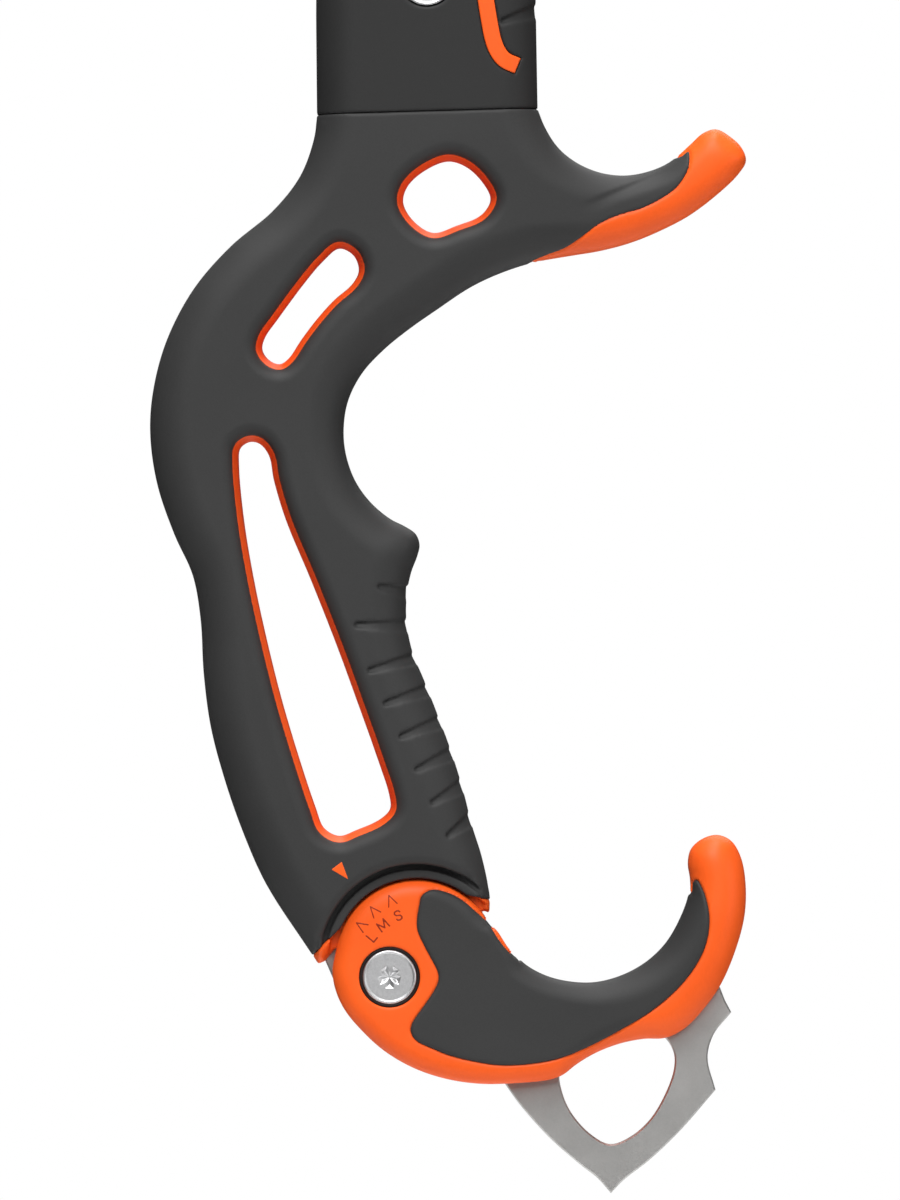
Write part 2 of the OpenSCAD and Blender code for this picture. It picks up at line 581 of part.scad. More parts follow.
module rest_body() color(orange_nylon) from_pivot() difference() {
    slab(half_rest) rest_shape();
    slab(half_pocket) pocket_shape();
    slab(half_spike) polygon(plate_outline);
    pad_solid();
    cross([0, 0], pin_radius + turn_gap, -half_pin - 0.1, half_pin + 0.1);
    cross(clamp_at, bolt_hole, -far, far);
    cross(clamp_at, nut_barrel + fit_gap, 0, far);
    for (s = [0, 1]) mirror([0, s, 0]) cross(clamp_at, disc_radius + ring_wall, disc_seat, far);
}

module rest_pad() color(rubber) from_pivot() pad_solid();

module spike_plate() color(steel) from_pivot() difference() {
    slab(half_spike) whole() difference() {
        polygon(plate_outline);
        polygon(clip_hole);
    }
    cross([0, 0], pin_radius + turn_gap, -far, far);
    cross(clamp_at, bolt_hole, -far, far);
}

shaft_tube();
tube_end_plug();
head();
head_rivets();
pick();
hammer();
head_bolts();
head_nuts();
head_washers();
shaft_sleeve();
sleeve_stripes();
handle_core();
grip_skin();
index_marks();
handle_bolt();
handle_nut();
pivot_pin();
rest_body();
rest_pad();
spike_plate();
clamp_bolt();
clamp_nut();
clamp_rings();
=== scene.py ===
"""A technical ice axe: moulded two-grip handle, swinging grip rest with its spike, sleeve, shaft and head."""
import json
import math
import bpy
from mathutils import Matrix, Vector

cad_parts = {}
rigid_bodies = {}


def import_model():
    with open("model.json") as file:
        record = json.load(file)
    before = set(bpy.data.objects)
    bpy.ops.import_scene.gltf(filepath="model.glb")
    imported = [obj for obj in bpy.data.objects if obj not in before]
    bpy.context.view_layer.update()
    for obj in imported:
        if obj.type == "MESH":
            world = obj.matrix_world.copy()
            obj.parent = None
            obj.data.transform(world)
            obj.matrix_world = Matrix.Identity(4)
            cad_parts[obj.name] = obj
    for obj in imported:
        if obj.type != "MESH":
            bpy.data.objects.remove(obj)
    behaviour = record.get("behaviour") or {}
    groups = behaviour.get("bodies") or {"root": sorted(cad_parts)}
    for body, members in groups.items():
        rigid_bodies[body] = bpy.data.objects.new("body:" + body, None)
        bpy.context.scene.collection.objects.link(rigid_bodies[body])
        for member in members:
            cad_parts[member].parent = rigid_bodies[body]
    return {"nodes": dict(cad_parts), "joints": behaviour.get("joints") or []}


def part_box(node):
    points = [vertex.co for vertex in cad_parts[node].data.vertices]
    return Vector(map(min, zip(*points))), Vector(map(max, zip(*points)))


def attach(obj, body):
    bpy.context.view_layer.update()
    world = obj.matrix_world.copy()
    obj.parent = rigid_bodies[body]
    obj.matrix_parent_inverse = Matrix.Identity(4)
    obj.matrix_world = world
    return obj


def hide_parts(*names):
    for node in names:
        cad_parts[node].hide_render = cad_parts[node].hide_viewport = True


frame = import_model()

from types import SimpleNamespace

import bmesh
import bpy
import numpy as np
from bpy.props import FloatProperty, FloatVectorProperty, PointerProperty
from mathutils import Vector
from mathutils.geometry import tessellate_polygon

bl_info = {
    "name": "Technical ice axe",
    "version": (1, 0, 0),
    "blender": (4, 5, 0),
    "location": "View3D > Sidebar > Ice axe",
    "description": "Builds the finished look of an ice axe over its CAD frame",
    "category": "Object",
}

MM = 0.001
NODES = frame["nodes"]
JOINT = frame["joints"][0]
AXE = JOINT["parent"]
REST = JOINT["child"]
# Every side position below is (x, z) in mm from this, the grip rest's pivot
PIVOT = (JOINT["pos_m"][0] / MM, JOINT["pos_m"][2] / MM)


def box_mm(node):
    """A CAD node's low and high corners in mm from the pivot."""
    low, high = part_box(node)
    shift = np.array([PIVOT[0], 0, PIVOT[1]])
    return np.array(low) / MM - shift, np.array(high) / MM - shift


SEAM_Z = box_mm("grip_skin")[1][2]
SEAM_DROP = 1.5
SEAM_FROM, SEAM_TO = -23.9, 29.0
SLEEVE_TOP = box_mm("shaft_sleeve")[1][2]
CLAMP = tuple(((box_mm("clamp_bolt")[0] + box_mm("clamp_bolt")[1]) / 2)[[0, 2]])
DISC = tuple(((box_mm("handle_bolt")[0] + box_mm("handle_bolt")[1]) / 2)[[0, 2]])


# ---- Sizes and colours a user would change ----


def linear(code):
    """An sRGB hex colour as linear RGBA."""
    parts = [int(code[i : i + 2], 16) / 255 for i in (1, 3, 5)]
    return [c / 12.92 if c <= 0.04045 else ((c + 0.055) / 1.055) ** 2.4 for c in parts] + [1.0]


def length(name, description, mm):
    """A length setting."""
    return FloatProperty(
        name=name, description=description, default=mm * MM, min=0, unit="LENGTH", precision=5
    )


def colour(name, description, code):
    """A colour setting."""
    return FloatVectorProperty(
        name=name, description=description, default=linear(code), size=4, min=0, max=1, subtype="COLOR"
    )


class AxeSizes(bpy.types.PropertyGroup):
    """Sizes of the rounded and cut surfaces."""

    cell: length("Mesh cell", "Spacing of the moulded pieces' meshes", 0.5)
    grip_half: length("Grip half thickness", "Half the grip across the palm", 12.5)
    horn_half: length("Horn half thickness", "Half the horn's thickness", 9.0)
    grip_round: length("Grip rounding", "Radius round the grip's edges", 9.5)
    rest_half: length("Rest half thickness", "Half the rest's thickness", 11.0)
    rest_round: length("Rest rounding", "Radius round the rest's edges", 4.2)
    window_lip: length("Window lip", "Radius the rubber rolls into a window", 3.2)
    rib_depth: length("Rib depth", "Depth of a finger groove at its tip", 1.3)
    plate_chamfer: length("Plate chamfer", "Chamfer on the steel plates", 0.35)


class AxeColours(bpy.types.PropertyGroup):
    """Finish colours."""

    rubber: colour("Grip rubber", "Colour of the moulded grip", "#333333")
    sleeve: colour("Sleeve rubber", "Colour of the shaft sleeve", "#282828")
    # A black ring that fills the gap between each clamp disc and the wall of its seat
    seal: colour("Clamp ring", "Colour of the rubber ring round the clamp", "#1a1210")
    nylon: colour("Nylon", "Colour of the core and rest", "#fc5e1e")
    # The marks' darker orange is painted shade, standing for the shade in engraved strokes
    mark: colour("Size marks", "Colour of the engraved marks", "#8a2a10")
    blade: colour("Blade steel", "Colour of the pick and spike", "#b8b7b5")
    bolt: colour("Bolt steel", "Colour of the bolts", "#d6d6d7")
    tube: colour("Shaft", "Colour of the anodised tube", "#6a6e72")
    head: colour("Head", "Colour of the forged head", "#76787a")
    floor: colour("Floor", "Colour of the floor", "#fbfbfb")


def sizes_mm():
    """The size settings in mm."""
    group = bpy.context.scene.axe_sizes
    return SimpleNamespace(**{name: getattr(group, name) / MM for name in group.__annotations__})


# ---- Materials ----


def shade(base, factor):
    """The same linear colour, lighter or darker."""
    return [min(1.0, c * factor) for c in base[:3]] + [1.0]


def add(tree, kind, links=(), **settings):
    """A node with its settings and its input links, each (input, node, output)."""
    made = tree.nodes.new(kind)
    for key, value in settings.items():
        if key in made.bl_rna.properties:
            setattr(made, key, value)
        else:
            made.inputs[key.replace("_", " ")].default_value = value
    for target, source, output in links:
        tree.links.new(source.outputs[output], made.inputs[target])
    return made


def new_material(name):
    """An empty material, its node tree and the link that places a pattern on the object."""
    material = bpy.data.materials.new(name)
    material.use_nodes = True
    tree = material.node_tree
    tree.nodes.clear()
    return material, tree, ("Vector", add(tree, "ShaderNodeTexCoord"), "Object")


def per_metre(mm):
    """A noise scale whose features are that many mm across."""
    return 1 / (mm * MM)


def mottled(tree, base, broad, fine, share):
    """The base colour varied by two patterns, each (node, darkest, lightest); share is the fine one's."""
    layers = []
    for pattern, darkest, lightest in (broad, fine):
        ends = {"Color1": shade(base, darkest), "Color2": shade(base, lightest)}
        layers.append(add(tree, "ShaderNodeMixRGB", [("Fac", pattern, "Fac")], **ends))
    links = [("Color1", layers[0], "Color"), ("Color2", layers[1], "Color")]
    return add(tree, "ShaderNodeMixRGB", links, Fac=share)


def finish(tree, tint, dull, relief, **settings):
    """The shader: a colour, a roughness (pattern, low, high) and a relief (pattern, strength, mm)."""
    pattern, low, high = dull
    rough = add(tree, "ShaderNodeMapRange", [("Value", pattern, "Fac")], To_Min=low, To_Max=high)
    pattern, strength, mm = relief
    bump = add(tree, "ShaderNodeBump", [("Height", pattern, "Fac")], Strength=strength, Distance=mm * MM)
    links = [("Base Color", tint, "Color"), ("Roughness", rough, "Result"), ("Normal", bump, "Normal")]
    shader = add(tree, "ShaderNodeBsdfPrincipled", links, **settings)
    add(tree, "ShaderNodeOutputMaterial", [("Surface", shader, "BSDF")])


def moulded_elastomer(name, base, grain, roughness):
    """Thermoplastic rubber moulded in a fine-blasted tool: a dead matt surface with an even, soft grain."""
    material, tree, coords = new_material(name)
    # Spark-eroded grain is about 0.2 mm; it is drawn at twice that so that it shows
    grit = add(tree, "ShaderNodeTexNoise", [coords], Scale=per_metre(grain), Detail=3.0, Roughness=0.6)
    # Handling leaves the surface unevenly dull over a few centimetres
    cloud = add(tree, "ShaderNodeTexNoise", [coords], Scale=per_metre(26), Detail=3.0, Roughness=0.5)
    tint = mottled(tree, base, (cloud, 0.77, 1.23), (grit, 0.75, 1.25), 0.45)
    dull = (cloud, roughness - 0.1, roughness + 0.11)
    finish(tree, tint, dull, (grit, 0.22, 0.06), IOR=1.5, Specular_IOR_Level=0.25)
    return material


def glass_filled_nylon(name, base):
    """Injection-moulded glass-filled nylon: a saturated colour under a satin, faintly fibrous skin."""
    material, tree, coords = new_material(name)
    # Fibres of 0.2 mm lie along the flow; drawn at 0.5 mm so that they show
    stretch = add(tree, "ShaderNodeMapping", [coords], Scale=(1.0, 1.0, 0.35))
    fibre = add(tree, "ShaderNodeTexNoise", [("Vector", stretch, "Vector")], Scale=per_metre(0.5), Detail=4.0)
    cloud = add(tree, "ShaderNodeTexNoise", [coords], Scale=per_metre(18), Detail=2.0)
    tint = mottled(tree, base, (cloud, 0.82, 1.18), (fibre, 0.8, 1.2), 0.35)
    glow = {"Subsurface Weight": 0.04, "Subsurface Radius": (0.0012, 0.0006, 0.0003)}
    dull, relief = (fibre, 0.42, 0.5), (fibre, 0.05, 0.03)
    finish(tree, tint, dull, relief, IOR=1.53, Specular_IOR_Level=0.18, **glow)
    return material


def ground_steel(name, base, roughness, grit):
    """Heat-treated steel plate, tumbled after laser cutting: an even satin grey with fine random pits."""
    material, tree, coords = new_material(name)
    pits = add(tree, "ShaderNodeTexNoise", [coords], Scale=per_metre(grit), Detail=4.0, Roughness=0.65)
    cloud = add(tree, "ShaderNodeTexNoise", [coords], Scale=per_metre(9), Detail=4.0, Roughness=0.6)
    tint = mottled(tree, base, (cloud, 0.68, 1.3), (pits, 0.76, 1.22), 0.5)
    finish(tree, tint, (pits, roughness - 0.07, roughness + 0.09), (pits, 0.3, 0.04), Metallic=1.0)
    return material


# A wave texture of scale 1 has this many waves in a metre
WAVES_PER_UNIT = 20


def turned_steel(name, base, centre):
    """Stainless steel faced on a lathe: bright, with fine rings round the bolt's axis."""
    material, tree, coords = new_material(name)
    middle = (-(PIVOT[0] + centre[0]) * MM, 0, -(PIVOT[1] + centre[1]) * MM)
    move = add(tree, "ShaderNodeMapping", [coords], Location=middle)
    # Feed marks are 0.1 mm apart; drawn at 0.3 mm so that they show
    rings = add(
        tree,
        "ShaderNodeTexWave",
        [("Vector", move, "Vector")],
        wave_type="RINGS",
        rings_direction="Y",
        Scale=per_metre(0.3) / WAVES_PER_UNIT,
        Distortion=0.3,
    )
    grit = add(tree, "ShaderNodeTexNoise", [coords], Scale=per_metre(0.4), Detail=3.0)
    ends = {"Color1": shade(base, 0.82), "Color2": shade(base, 1.16)}
    tint = add(tree, "ShaderNodeMixRGB", [("Fac", grit, "Fac")], **ends)
    finish(tree, tint, (grit, 0.36, 0.48), (rings, 0.25, 0.02), Metallic=1.0)
    return material


def anodised_aluminium(name, base):
    """Extruded aluminium, etched and anodised: a dark satin with faint drawing lines along the tube."""
    material, tree, coords = new_material(name)
    along = add(tree, "ShaderNodeMapping", [coords], Scale=(1.0, 1.0, 0.02))
    # Die lines are finer than 0.3 mm; drawn at 0.6 mm so that they show
    lines = add(tree, "ShaderNodeTexNoise", [("Vector", along, "Vector")], Scale=per_metre(0.6), Detail=3.0)
    grit = add(tree, "ShaderNodeTexNoise", [coords], Scale=per_metre(0.45), Detail=2.0)
    ends = {"Color1": shade(base, 0.6), "Color2": shade(base, 1.4)}
    tint = add(tree, "ShaderNodeMixRGB", [("Fac", lines, "Fac")], **ends)
    finish(tree, tint, (grit, 0.32, 0.46), (lines, 0.15, 0.03), Metallic=1.0)
    return material


def matt_paint(name, base):
    """Rolled matt paint: pale and even, with the faint stipple that the roller leaves."""
    material, tree, coords = new_material(name)
    # Roller stipple is about 1.5 mm
    stipple = add(tree, "ShaderNodeTexNoise", [coords], Scale=per_metre(1.5), Detail=2.0)
    ends = {"Color1": shade(base, 0.97), "Color2": shade(base, 1.03)}
    tint = add(tree, "ShaderNodeMixRGB", [("Fac", stipple, "Fac")], **ends)
    shader = add(tree, "ShaderNodeBsdfPrincipled", [("Base Color", tint, "Color")], Roughness=0.85, IOR=1.5)
    add(tree, "ShaderNodeOutputMaterial", [("Surface", shader, "BSDF")])
    return material


def material(name):
    """A finish by name, made once."""
    if name in bpy.data.materials:
        return bpy.data.materials[name]
    colours = bpy.context.scene.axe_colours
    recipes = {
        "moulded_grip_elastomer": (moulded_elastomer, colours.rubber, 0.45, 0.6),
        "moulded_sleeve_elastomer": (moulded_elastomer, colours.sleeve, 0.45, 0.64),
        "black_nitrile_ring": (moulded_elastomer, colours.seal, 0.5, 0.5),
        "glass_filled_nylon": (glass_filled_nylon, colours.nylon),
        "engraved_mark_paint": (glass_filled_nylon, colours.mark),
        "tumbled_plate_steel": (ground_steel, colours.blade, 0.45, 0.5),
        "machined_bolt_steel": (ground_steel, colours.bolt, 0.3, 0.6),
        "blasted_head_alloy": (ground_steel, colours.head, 0.48, 0.7),
        "faced_clamp_steel": (turned_steel, colours.bolt, CLAMP),
        "faced_handle_steel": (turned_steel, colours.bolt, DISC),
        "anodised_shaft_aluminium": (anodised_aluminium, colours.tube),
        "matt_floor_paint": (matt_paint, colours.floor),
    }
    maker, *settings = recipes[name]
    return maker(name, *settings)


# ---- Outlines taken from the CAD pieces ----


def section(node, y):
    """Closed outlines of a CAD node cut at that y, in mm from the pivot, largest first."""
    bm = bmesh.new()
    bm.from_mesh(NODES[node].data)
    bmesh.ops.remove_doubles(bm, verts=bm.verts, dist=2e-6)
    everything = bm.verts[:] + bm.edges[:] + bm.faces[:]
    plane = {"plane_co": (0, y * MM, 0), "plane_no": (0, 1, 0)}
    bmesh.ops.bisect_plane(bm, geom=everything, dist=1e-7, clear_inner=True, clear_outer=True, **plane)
    bmesh.ops.remove_doubles(bm, verts=bm.verts, dist=4e-6)
    loops = []
    seen = set()
    for start in bm.verts:
        if start in seen or len(start.link_edges) != 2:
            continue
        loop = [start]
        seen.add(start)
        here = start.link_edges[0].other_vert(start)
        while here not in seen:
            loop.append(here)
            seen.add(here)
            ahead = [e.other_vert(here) for e in here.link_edges if e.other_vert(here) not in seen]
            if not ahead:
                break
            here = ahead[0]
        loops.append(np.array([(v.co.x / MM - PIVOT[0], v.co.z / MM - PIVOT[1]) for v in loop]))
    bm.free()
    loops = [counterclockwise(without_straights(loop)) for loop in loops if len(loop) > 2]
    return sorted(loops, key=lambda loop: -abs(area(loop)))


def area(loop):
    """Signed area of a closed outline."""
    ahead = np.roll(loop, -1, 0)
    return 0.5 * np.sum(loop[:, 0] * ahead[:, 1] - ahead[:, 0] * loop[:, 1])


def counterclockwise(loop):
    """The outline, turned to run counterclockwise."""
    return loop if area(loop) > 0 else loop[::-1]


def turns(loop):
    """The angle that the outline turns by at each point."""
    back = loop - np.roll(loop, 1, 0)
    on = np.roll(loop, -1, 0) - loop
    cross = back[:, 0] * on[:, 1] - back[:, 1] * on[:, 0]
    return np.arctan2(cross, np.sum(back * on, 1))


def without_straights(loop):
    """The outline without the points that lie on its straight runs."""
    return loop[np.abs(turns(loop)) > math.radians(0.25)]


def curved(loop, corner=26):
    """The outline with a point added to each span, on a curve except next to corners and long spans."""
    after = np.roll(loop, -1, 0)
    span = np.linalg.norm(after - loop, axis=1)
    longest_by = np.minimum(np.roll(span, 1), np.roll(span, -1))
    sharp = np.abs(turns(loop)) > math.radians(corner)
    straight = sharp | np.roll(sharp, -1) | (span > 2.4 * longest_by)
    middle = (9 * (loop + after) - np.roll(loop, 1, 0) - np.roll(loop, -2, 0)) / 16
    middle[straight] = ((loop + after) / 2)[straight]
    return np.stack([loop, middle], 1).reshape(-1, 2)


def segments(loops):
    """Starts and ends of every segment of the outlines."""
    return np.concatenate([np.stack([loop, np.roll(loop, -1, 0)], 1) for loop in loops])


def distance(parts, x, z):
    """Distance from each place to the nearest segment, and that segment's number."""
    nearest = np.full(x.shape, 1e9)
    which = np.zeros(x.shape, int)
    for number, ((ax, az), (bx, bz)) in enumerate(parts):
        dx, dz = bx - ax, bz - az
        t = np.clip(((x - ax) * dx + (z - az) * dz) / (dx * dx + dz * dz + 1e-12), 0, 1)
        gap = (x - ax - t * dx) ** 2 + (z - az - t * dz) ** 2
        closer = gap < nearest
        nearest[closer] = gap[closer]
        which[closer] = number
    return np.sqrt(nearest), which


def inside(loops, x, z):
    """True for the places inside an odd number of the outlines."""
    odd = np.zeros(x.shape, bool)
    for (ax, az), (bx, bz) in segments(loops):
        if az != bz:
            odd ^= ((az > z) != (bz > z)) & (x < (bx - ax) * (z - az) / (bz - az) + ax)
    return odd


def depth(loops, x, z):
    """Signed distance to the outlines, negative inside."""
    away = distance(segments(loops), x, z)[0]
    return np.where(inside(loops, x, z), -away, away)


class Silhouette:
    """The outer edge that several pieces make together, and the borders between them."""

    def __init__(self, pieces, reach=0.65):
        self.pieces = {name: [curved(loop) for loop in loops] for name, loops in pieces.items()}
        self.outer, self.owner, self.border = [], [], {}
        for name, loops in self.pieces.items():
            parts = segments(loops)
            # A segment with a piece on each side, even across a narrow gap, isn't part of the outer edge
            outer = ~self.covered(parts, reach) & ~self.covered(parts, 0.06)
            self.outer.append(parts[outer])
            self.owner += [name] * int(outer.sum())
            self.border[name] = parts[~outer]
        self.outer = np.concatenate(self.outer)
        self.owner = np.array(self.owner)

    def covered(self, parts, reach):
        """True for the segments with a piece that far away on both sides."""
        way = parts[:, 1] - parts[:, 0]
        side = reach * np.stack([-way[:, 1], way[:, 0]], 1) / np.linalg.norm(way, axis=1)[:, None]
        middle = parts.mean(1)
        return self.within(middle + side) & self.within(middle - side)

    def within(self, places):
        """True for the places inside any piece."""
        found = np.zeros(len(places), bool)
        for loops in self.pieces.values():
            found |= inside(loops, places[:, 0], places[:, 1])
        return found

    def edge(self, x, z):
        """Signed distance to the outer edge, and the piece that the nearest stretch of it belongs to."""
        away, which = distance(self.outer, x, z)
        within = self.within(np.stack([x.ravel(), z.ravel()], 1)).reshape(x.shape)
        return np.where(within, -away, away), self.owner[which]

    def region(self, name, x, z, edge, owner):
        """Signed distance to a piece's borders with the others, negative on its own side of them."""
        away = distance(self.border[name], x, z)[0]
        own = np.where(edge < 0, inside(self.pieces[name], x, z), owner == name)
        return np.where(own, -away, away)


# ---- Solids as fields of signed distance ----


class Grid:
    """Places in mm: x and z on a flat sheet, and y through the thickness."""

    def __init__(self, low, high, cell):
        self.low, self.cell = np.array(low, float), cell
        count = np.ceil((np.array(high) - self.low) / cell).astype(int) + 1
        xs, ys, zs = [self.low[i] + cell * np.arange(count[i]) for i in range(3)]
        self.x, self.z = np.meshgrid(xs, zs, indexing="ij")
        self.y = ys[None, :, None]

    def deep(self, sheet):
        """A value per (x, z), ready to mix with y."""
        return np.asarray(sheet)[:, None, :]

    def away(self, centre):
        """Distance from an axis across the axe."""
        return np.hypot(self.x - centre[0], self.z - centre[1])


def grid_round(node, half, cell, above=2):
    """A grid round a CAD node, that far to each side of the middle plane."""
    low, high = box_mm(node)
    return Grid((low[0] - 2, -half, low[2] - 2), (high[0] + 2, half, high[2] + above), cell)


def meet(a, b, r):
    """Where both fields are solid, with their shared edge rounded."""
    return np.minimum(np.maximum(a, b), -r) + np.hypot(np.maximum(a + r, 0), np.maximum(b + r, 0))


def join(a, b, r):
    """Where either field is solid, with a fillet between them."""
    return -meet(-a, -b, r)


def step(value, start, end):
    """0 before start and 1 after end, eased between."""
    t = np.clip((value - start) / (end - start), 0, 1)
    return t * t * (3 - 2 * t)


def softened(edge, cell, from_depth=1.0, to_depth=4.5, width=3.4):
    """The edge field with its inner ridges smoothed, so that a narrow crown comes out round."""
    count = max(1, round(width / cell))
    kernel = np.hanning(2 * count + 3)
    kernel /= kernel.sum()
    blurred = np.pad(edge, count + 1, mode="edge")
    for axis in (0, 1):
        blurred = np.apply_along_axis(np.convolve, axis, blurred, kernel, "valid")
    share = step(-edge, from_depth, to_depth)
    return edge * (1 - share) + blurred * share


def net(field, grid, passes=5):
    """Vertices and quads of the surface where the field is zero, evened out along itself."""
    solid = field < 0
    count = np.array(field.shape)
    total = np.zeros(tuple(count - 1) + (3,))
    hits = np.zeros(tuple(count - 1))
    for axis in range(3):
        a = np.moveaxis(field, axis, 0)
        s = np.moveaxis(solid, axis, 0)
        crossing = s[:-1] != s[1:]
        part = np.where(crossing, a[:-1] / np.where(crossing, a[:-1] - a[1:], 1), 0)
        crossing, part = np.moveaxis(crossing, 0, axis), np.moveaxis(part, 0, axis)
        others = [i for i in range(3) if i != axis]
        for p in (0, 1):
            for q in (0, 1):
                cut = [slice(None)] * 3
                cut[others[0]] = slice(p, count[others[0]] - 1 + p)
                cut[others[1]] = slice(q, count[others[1]] - 1 + q)
                here = crossing[tuple(cut)]
                hits += here
                total[..., axis] += part[tuple(cut)]
                total[..., others[0]] += p * here
                total[..., others[1]] += q * here
    used = hits > 0
    number = np.full(used.shape, -1)
    number[used] = np.arange(used.sum())
    verts = total[used] / hits[used][:, None] + np.argwhere(used)
    quads = []
    for axis in range(3):
        s = np.moveaxis(solid, axis, 0)
        n = np.moveaxis(number, axis, 0)
        flips = s[:-1, 1:-1, 1:-1] != s[1:, 1:-1, 1:-1]
        i, j, k = np.nonzero(flips)
        j, k = j + 1, k + 1
        quad = np.stack([n[i, j - 1, k - 1], n[i, j, k - 1], n[i, j, k], n[i, j - 1, k]], 1)
        outward = s[:-1, 1:-1, 1:-1][flips]
        if axis == 1:
            outward = ~outward
        quad[~outward] = quad[~outward][:, ::-1]
        quads.append(quad)
    quads = np.concatenate(quads)
    slope = np.stack(np.gradient(field), -1)
    links = np.concatenate([np.roll(quads, -1, 1).reshape(-1, 1), quads.reshape(-1, 1)], 1)
    links = np.concatenate([links, links[:, ::-1]])
    degree = np.bincount(links[:, 0], minlength=len(verts))[:, None]
    for _ in range(passes):
        sums = [np.bincount(links[:, 0], verts[links[:, 1], c], len(verts)) for c in range(3)]
        mean = np.stack(sums, 1) / degree
        verts = onto(verts + 0.5 * (mean - verts), field, slope)
    return verts * grid.cell + grid.low, quads


def read(values, places):
    """Values between grid points, by position in cells."""
    base = np.clip(places.astype(int), 0, np.array(values.shape[:3]) - 2)
    part = places - base
    found = 0
    for corner in np.ndindex(2, 2, 2):
        weight = np.prod(np.where(corner, part, 1 - part), axis=1)
        sample = values[tuple((base + corner).T)]
        found = found + (weight[:, None] * sample if sample.ndim > 1 else weight * sample)
    return found


def onto(places, field, slope):
    """Places moved straight back onto the field's surface."""
    normal = read(slope, places)
    steep = np.sum(normal * normal, 1)[:, None] + 1e-9
    return places - np.clip(read(field, places)[:, None] * normal / steep, -0.6, 0.6)


# ---- Making pieces ----


def place(verts):
    """From mm about the pivot to metres in the row frame."""
    return (np.asarray(verts) + [PIVOT[0], 0, PIVOT[1]]) * MM


def piece(name, verts, faces, body, look, slot, nodes=(), smooth_angle=None):
    """A finished mesh object that rides a body and stands for its CAD nodes."""
    mesh = bpy.data.meshes.new(name)
    mesh.from_pydata(place(verts).tolist(), [], [list(map(int, f)) for f in faces])
    mesh.validate()
    mesh.update()
    mesh.shade_smooth()
    if smooth_angle:
        mesh.set_sharp_from_angle(angle=math.radians(smooth_angle))
    obj = bpy.data.objects.new(name, mesh)
    bpy.context.scene.collection.objects.link(obj)
    mesh.materials.append(material(look))
    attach(obj, body)
    if nodes:
        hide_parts(*nodes)
    return obj


def sculpted(name, field, grid, body, look, slot, nodes=()):
    """A moulded piece from a field."""
    verts, quads = net(field, grid)
    return piece(name, verts, quads, body, look, slot, nodes)


def on_both_sides(field, grid, passes=5):
    """The surface of a field on one side of the axe, and its mirror on the other."""
    verts, quads = net(field, grid, passes)
    mirrored = quads[:, ::-1] + len(verts)
    return np.concatenate([verts, verts * [1, -1, 1]]), np.concatenate([quads, mirrored])


def inset(loop, by):
    """The outline moved inwards with mitred corners."""
    back = loop - np.roll(loop, 1, 0)
    on = np.roll(loop, -1, 0) - loop
    back /= np.linalg.norm(back, axis=1)[:, None]
    on /= np.linalg.norm(on, axis=1)[:, None]
    normal = np.stack([-(back + on)[:, 1], (back + on)[:, 0]], 1)
    normal /= np.linalg.norm(normal, axis=1)[:, None]
    reach = np.clip(1 / np.maximum(normal[:, 0] * -on[:, 1] + normal[:, 1] * on[:, 0], 0.35), 1, 2.5)
    return loop + by * reach[:, None] * normal


def plate(outer, holes, half, chamfer):
    """A flat plate with every edge chamfered."""
    loops = [outer] + [hole[::-1] for hole in holes]
    verts, faces, rims, count = [], [], {-1: [], 1: []}, 0
    for loop in loops:
        small = inset(loop, chamfer)
        rings = [(small, -half), (loop, chamfer - half), (loop, half - chamfer), (small, half)]
        n = len(loop)
        for ring, y in rings:
            verts.append(np.stack([ring[:, 0], np.full(n, y), ring[:, 1]], 1))
        for r in range(3):
            for i in range(n):
                a, b = count + r * n + i, count + r * n + (i + 1) % n
                faces.append([a, b, b + n, a + n])
        rims[-1].append([count + i for i in range(n)])
        rims[1].append([count + 3 * n + i for i in range(n)])
        count += 4 * n
    verts = np.concatenate(verts)
    for side, rings in rims.items():
        flat = [[Vector((*verts[i][[0, 2]], 0)) for i in ring] for ring in rings]
        numbers = [i for ring in rings for i in ring]
        for a, b, c in tessellate_polygon(flat):
            faces.append([numbers[a], numbers[b], numbers[c]])
    return verts, faces


# ---- The handle ----

# Closes the hairline gap that the seam leaves between the two outlines
SEAM_STRIP = np.array(
    [
        (SEAM_FROM, SEAM_Z - SEAM_DROP - 1),
        (SEAM_TO - 0.6, SEAM_Z - 1),
        (SEAM_TO, SEAM_Z),
        (SEAM_TO, SEAM_Z + 0.4),
        (SEAM_TO - 0.6, SEAM_Z + 1.4),
        (SEAM_FROM, SEAM_Z - SEAM_DROP + 1.4),
    ]
)
HANDLE = Silhouette(
    {
        "skin": section("grip_skin", 9.75)[:1],
        "core": section("handle_core", 8.5)[:1],
        "tongue": section("handle_core", 5.0)[:1],
        "neck": section("handle_core", 10.2)[:1],
        "sleeve": section("shaft_sleeve", 9.3)[:1],
        "seam": [SEAM_STRIP],
        "rest": section("rest_body", 9.2)[:1],
    }
)
WINDOWS = [curved(w) for w in section("handle_core", 8.5)[1:] if w[:, 1].max() < SEAM_Z - 9]
BARE_HORN_X = 22
BARE_HORN_Z = 150
BARE_HORN_TOP = 201
WINDOW_REVEAL = 1.35
SKIN_THICK = 2.3
# The rest's cheeks turn against a lip of the skin, a band of the core and a tongue between them
LIP_HALF = 9.6
LIP_RADIUS = 24
CREASE_RADIUS = 22.5
BAND_HALF = 9.4
BAND_RADIUS = 34
TONGUE_HALF = 6.4
TONGUE_RADIUS = 27
SLOT_RADIUS = 22.6
SLOT_HALF = 2.2


def seam(x):
    """Height of the seam between the skin and the sleeve, lower at the back."""
    return SEAM_Z - SEAM_DROP * np.clip((SEAM_TO - x) / (SEAM_TO - SEAM_FROM), 0, 1)


def corner_cut(x, z):
    """Positive below the skin's lower ends, where the core shows at the handle's two lower corners."""
    right = np.where(x > 6, 15.5 - 0.2 * (x - 12.7) - z, -9)
    left = np.where(x < -14, 26 - z + x, -9)
    return np.maximum(right, left)


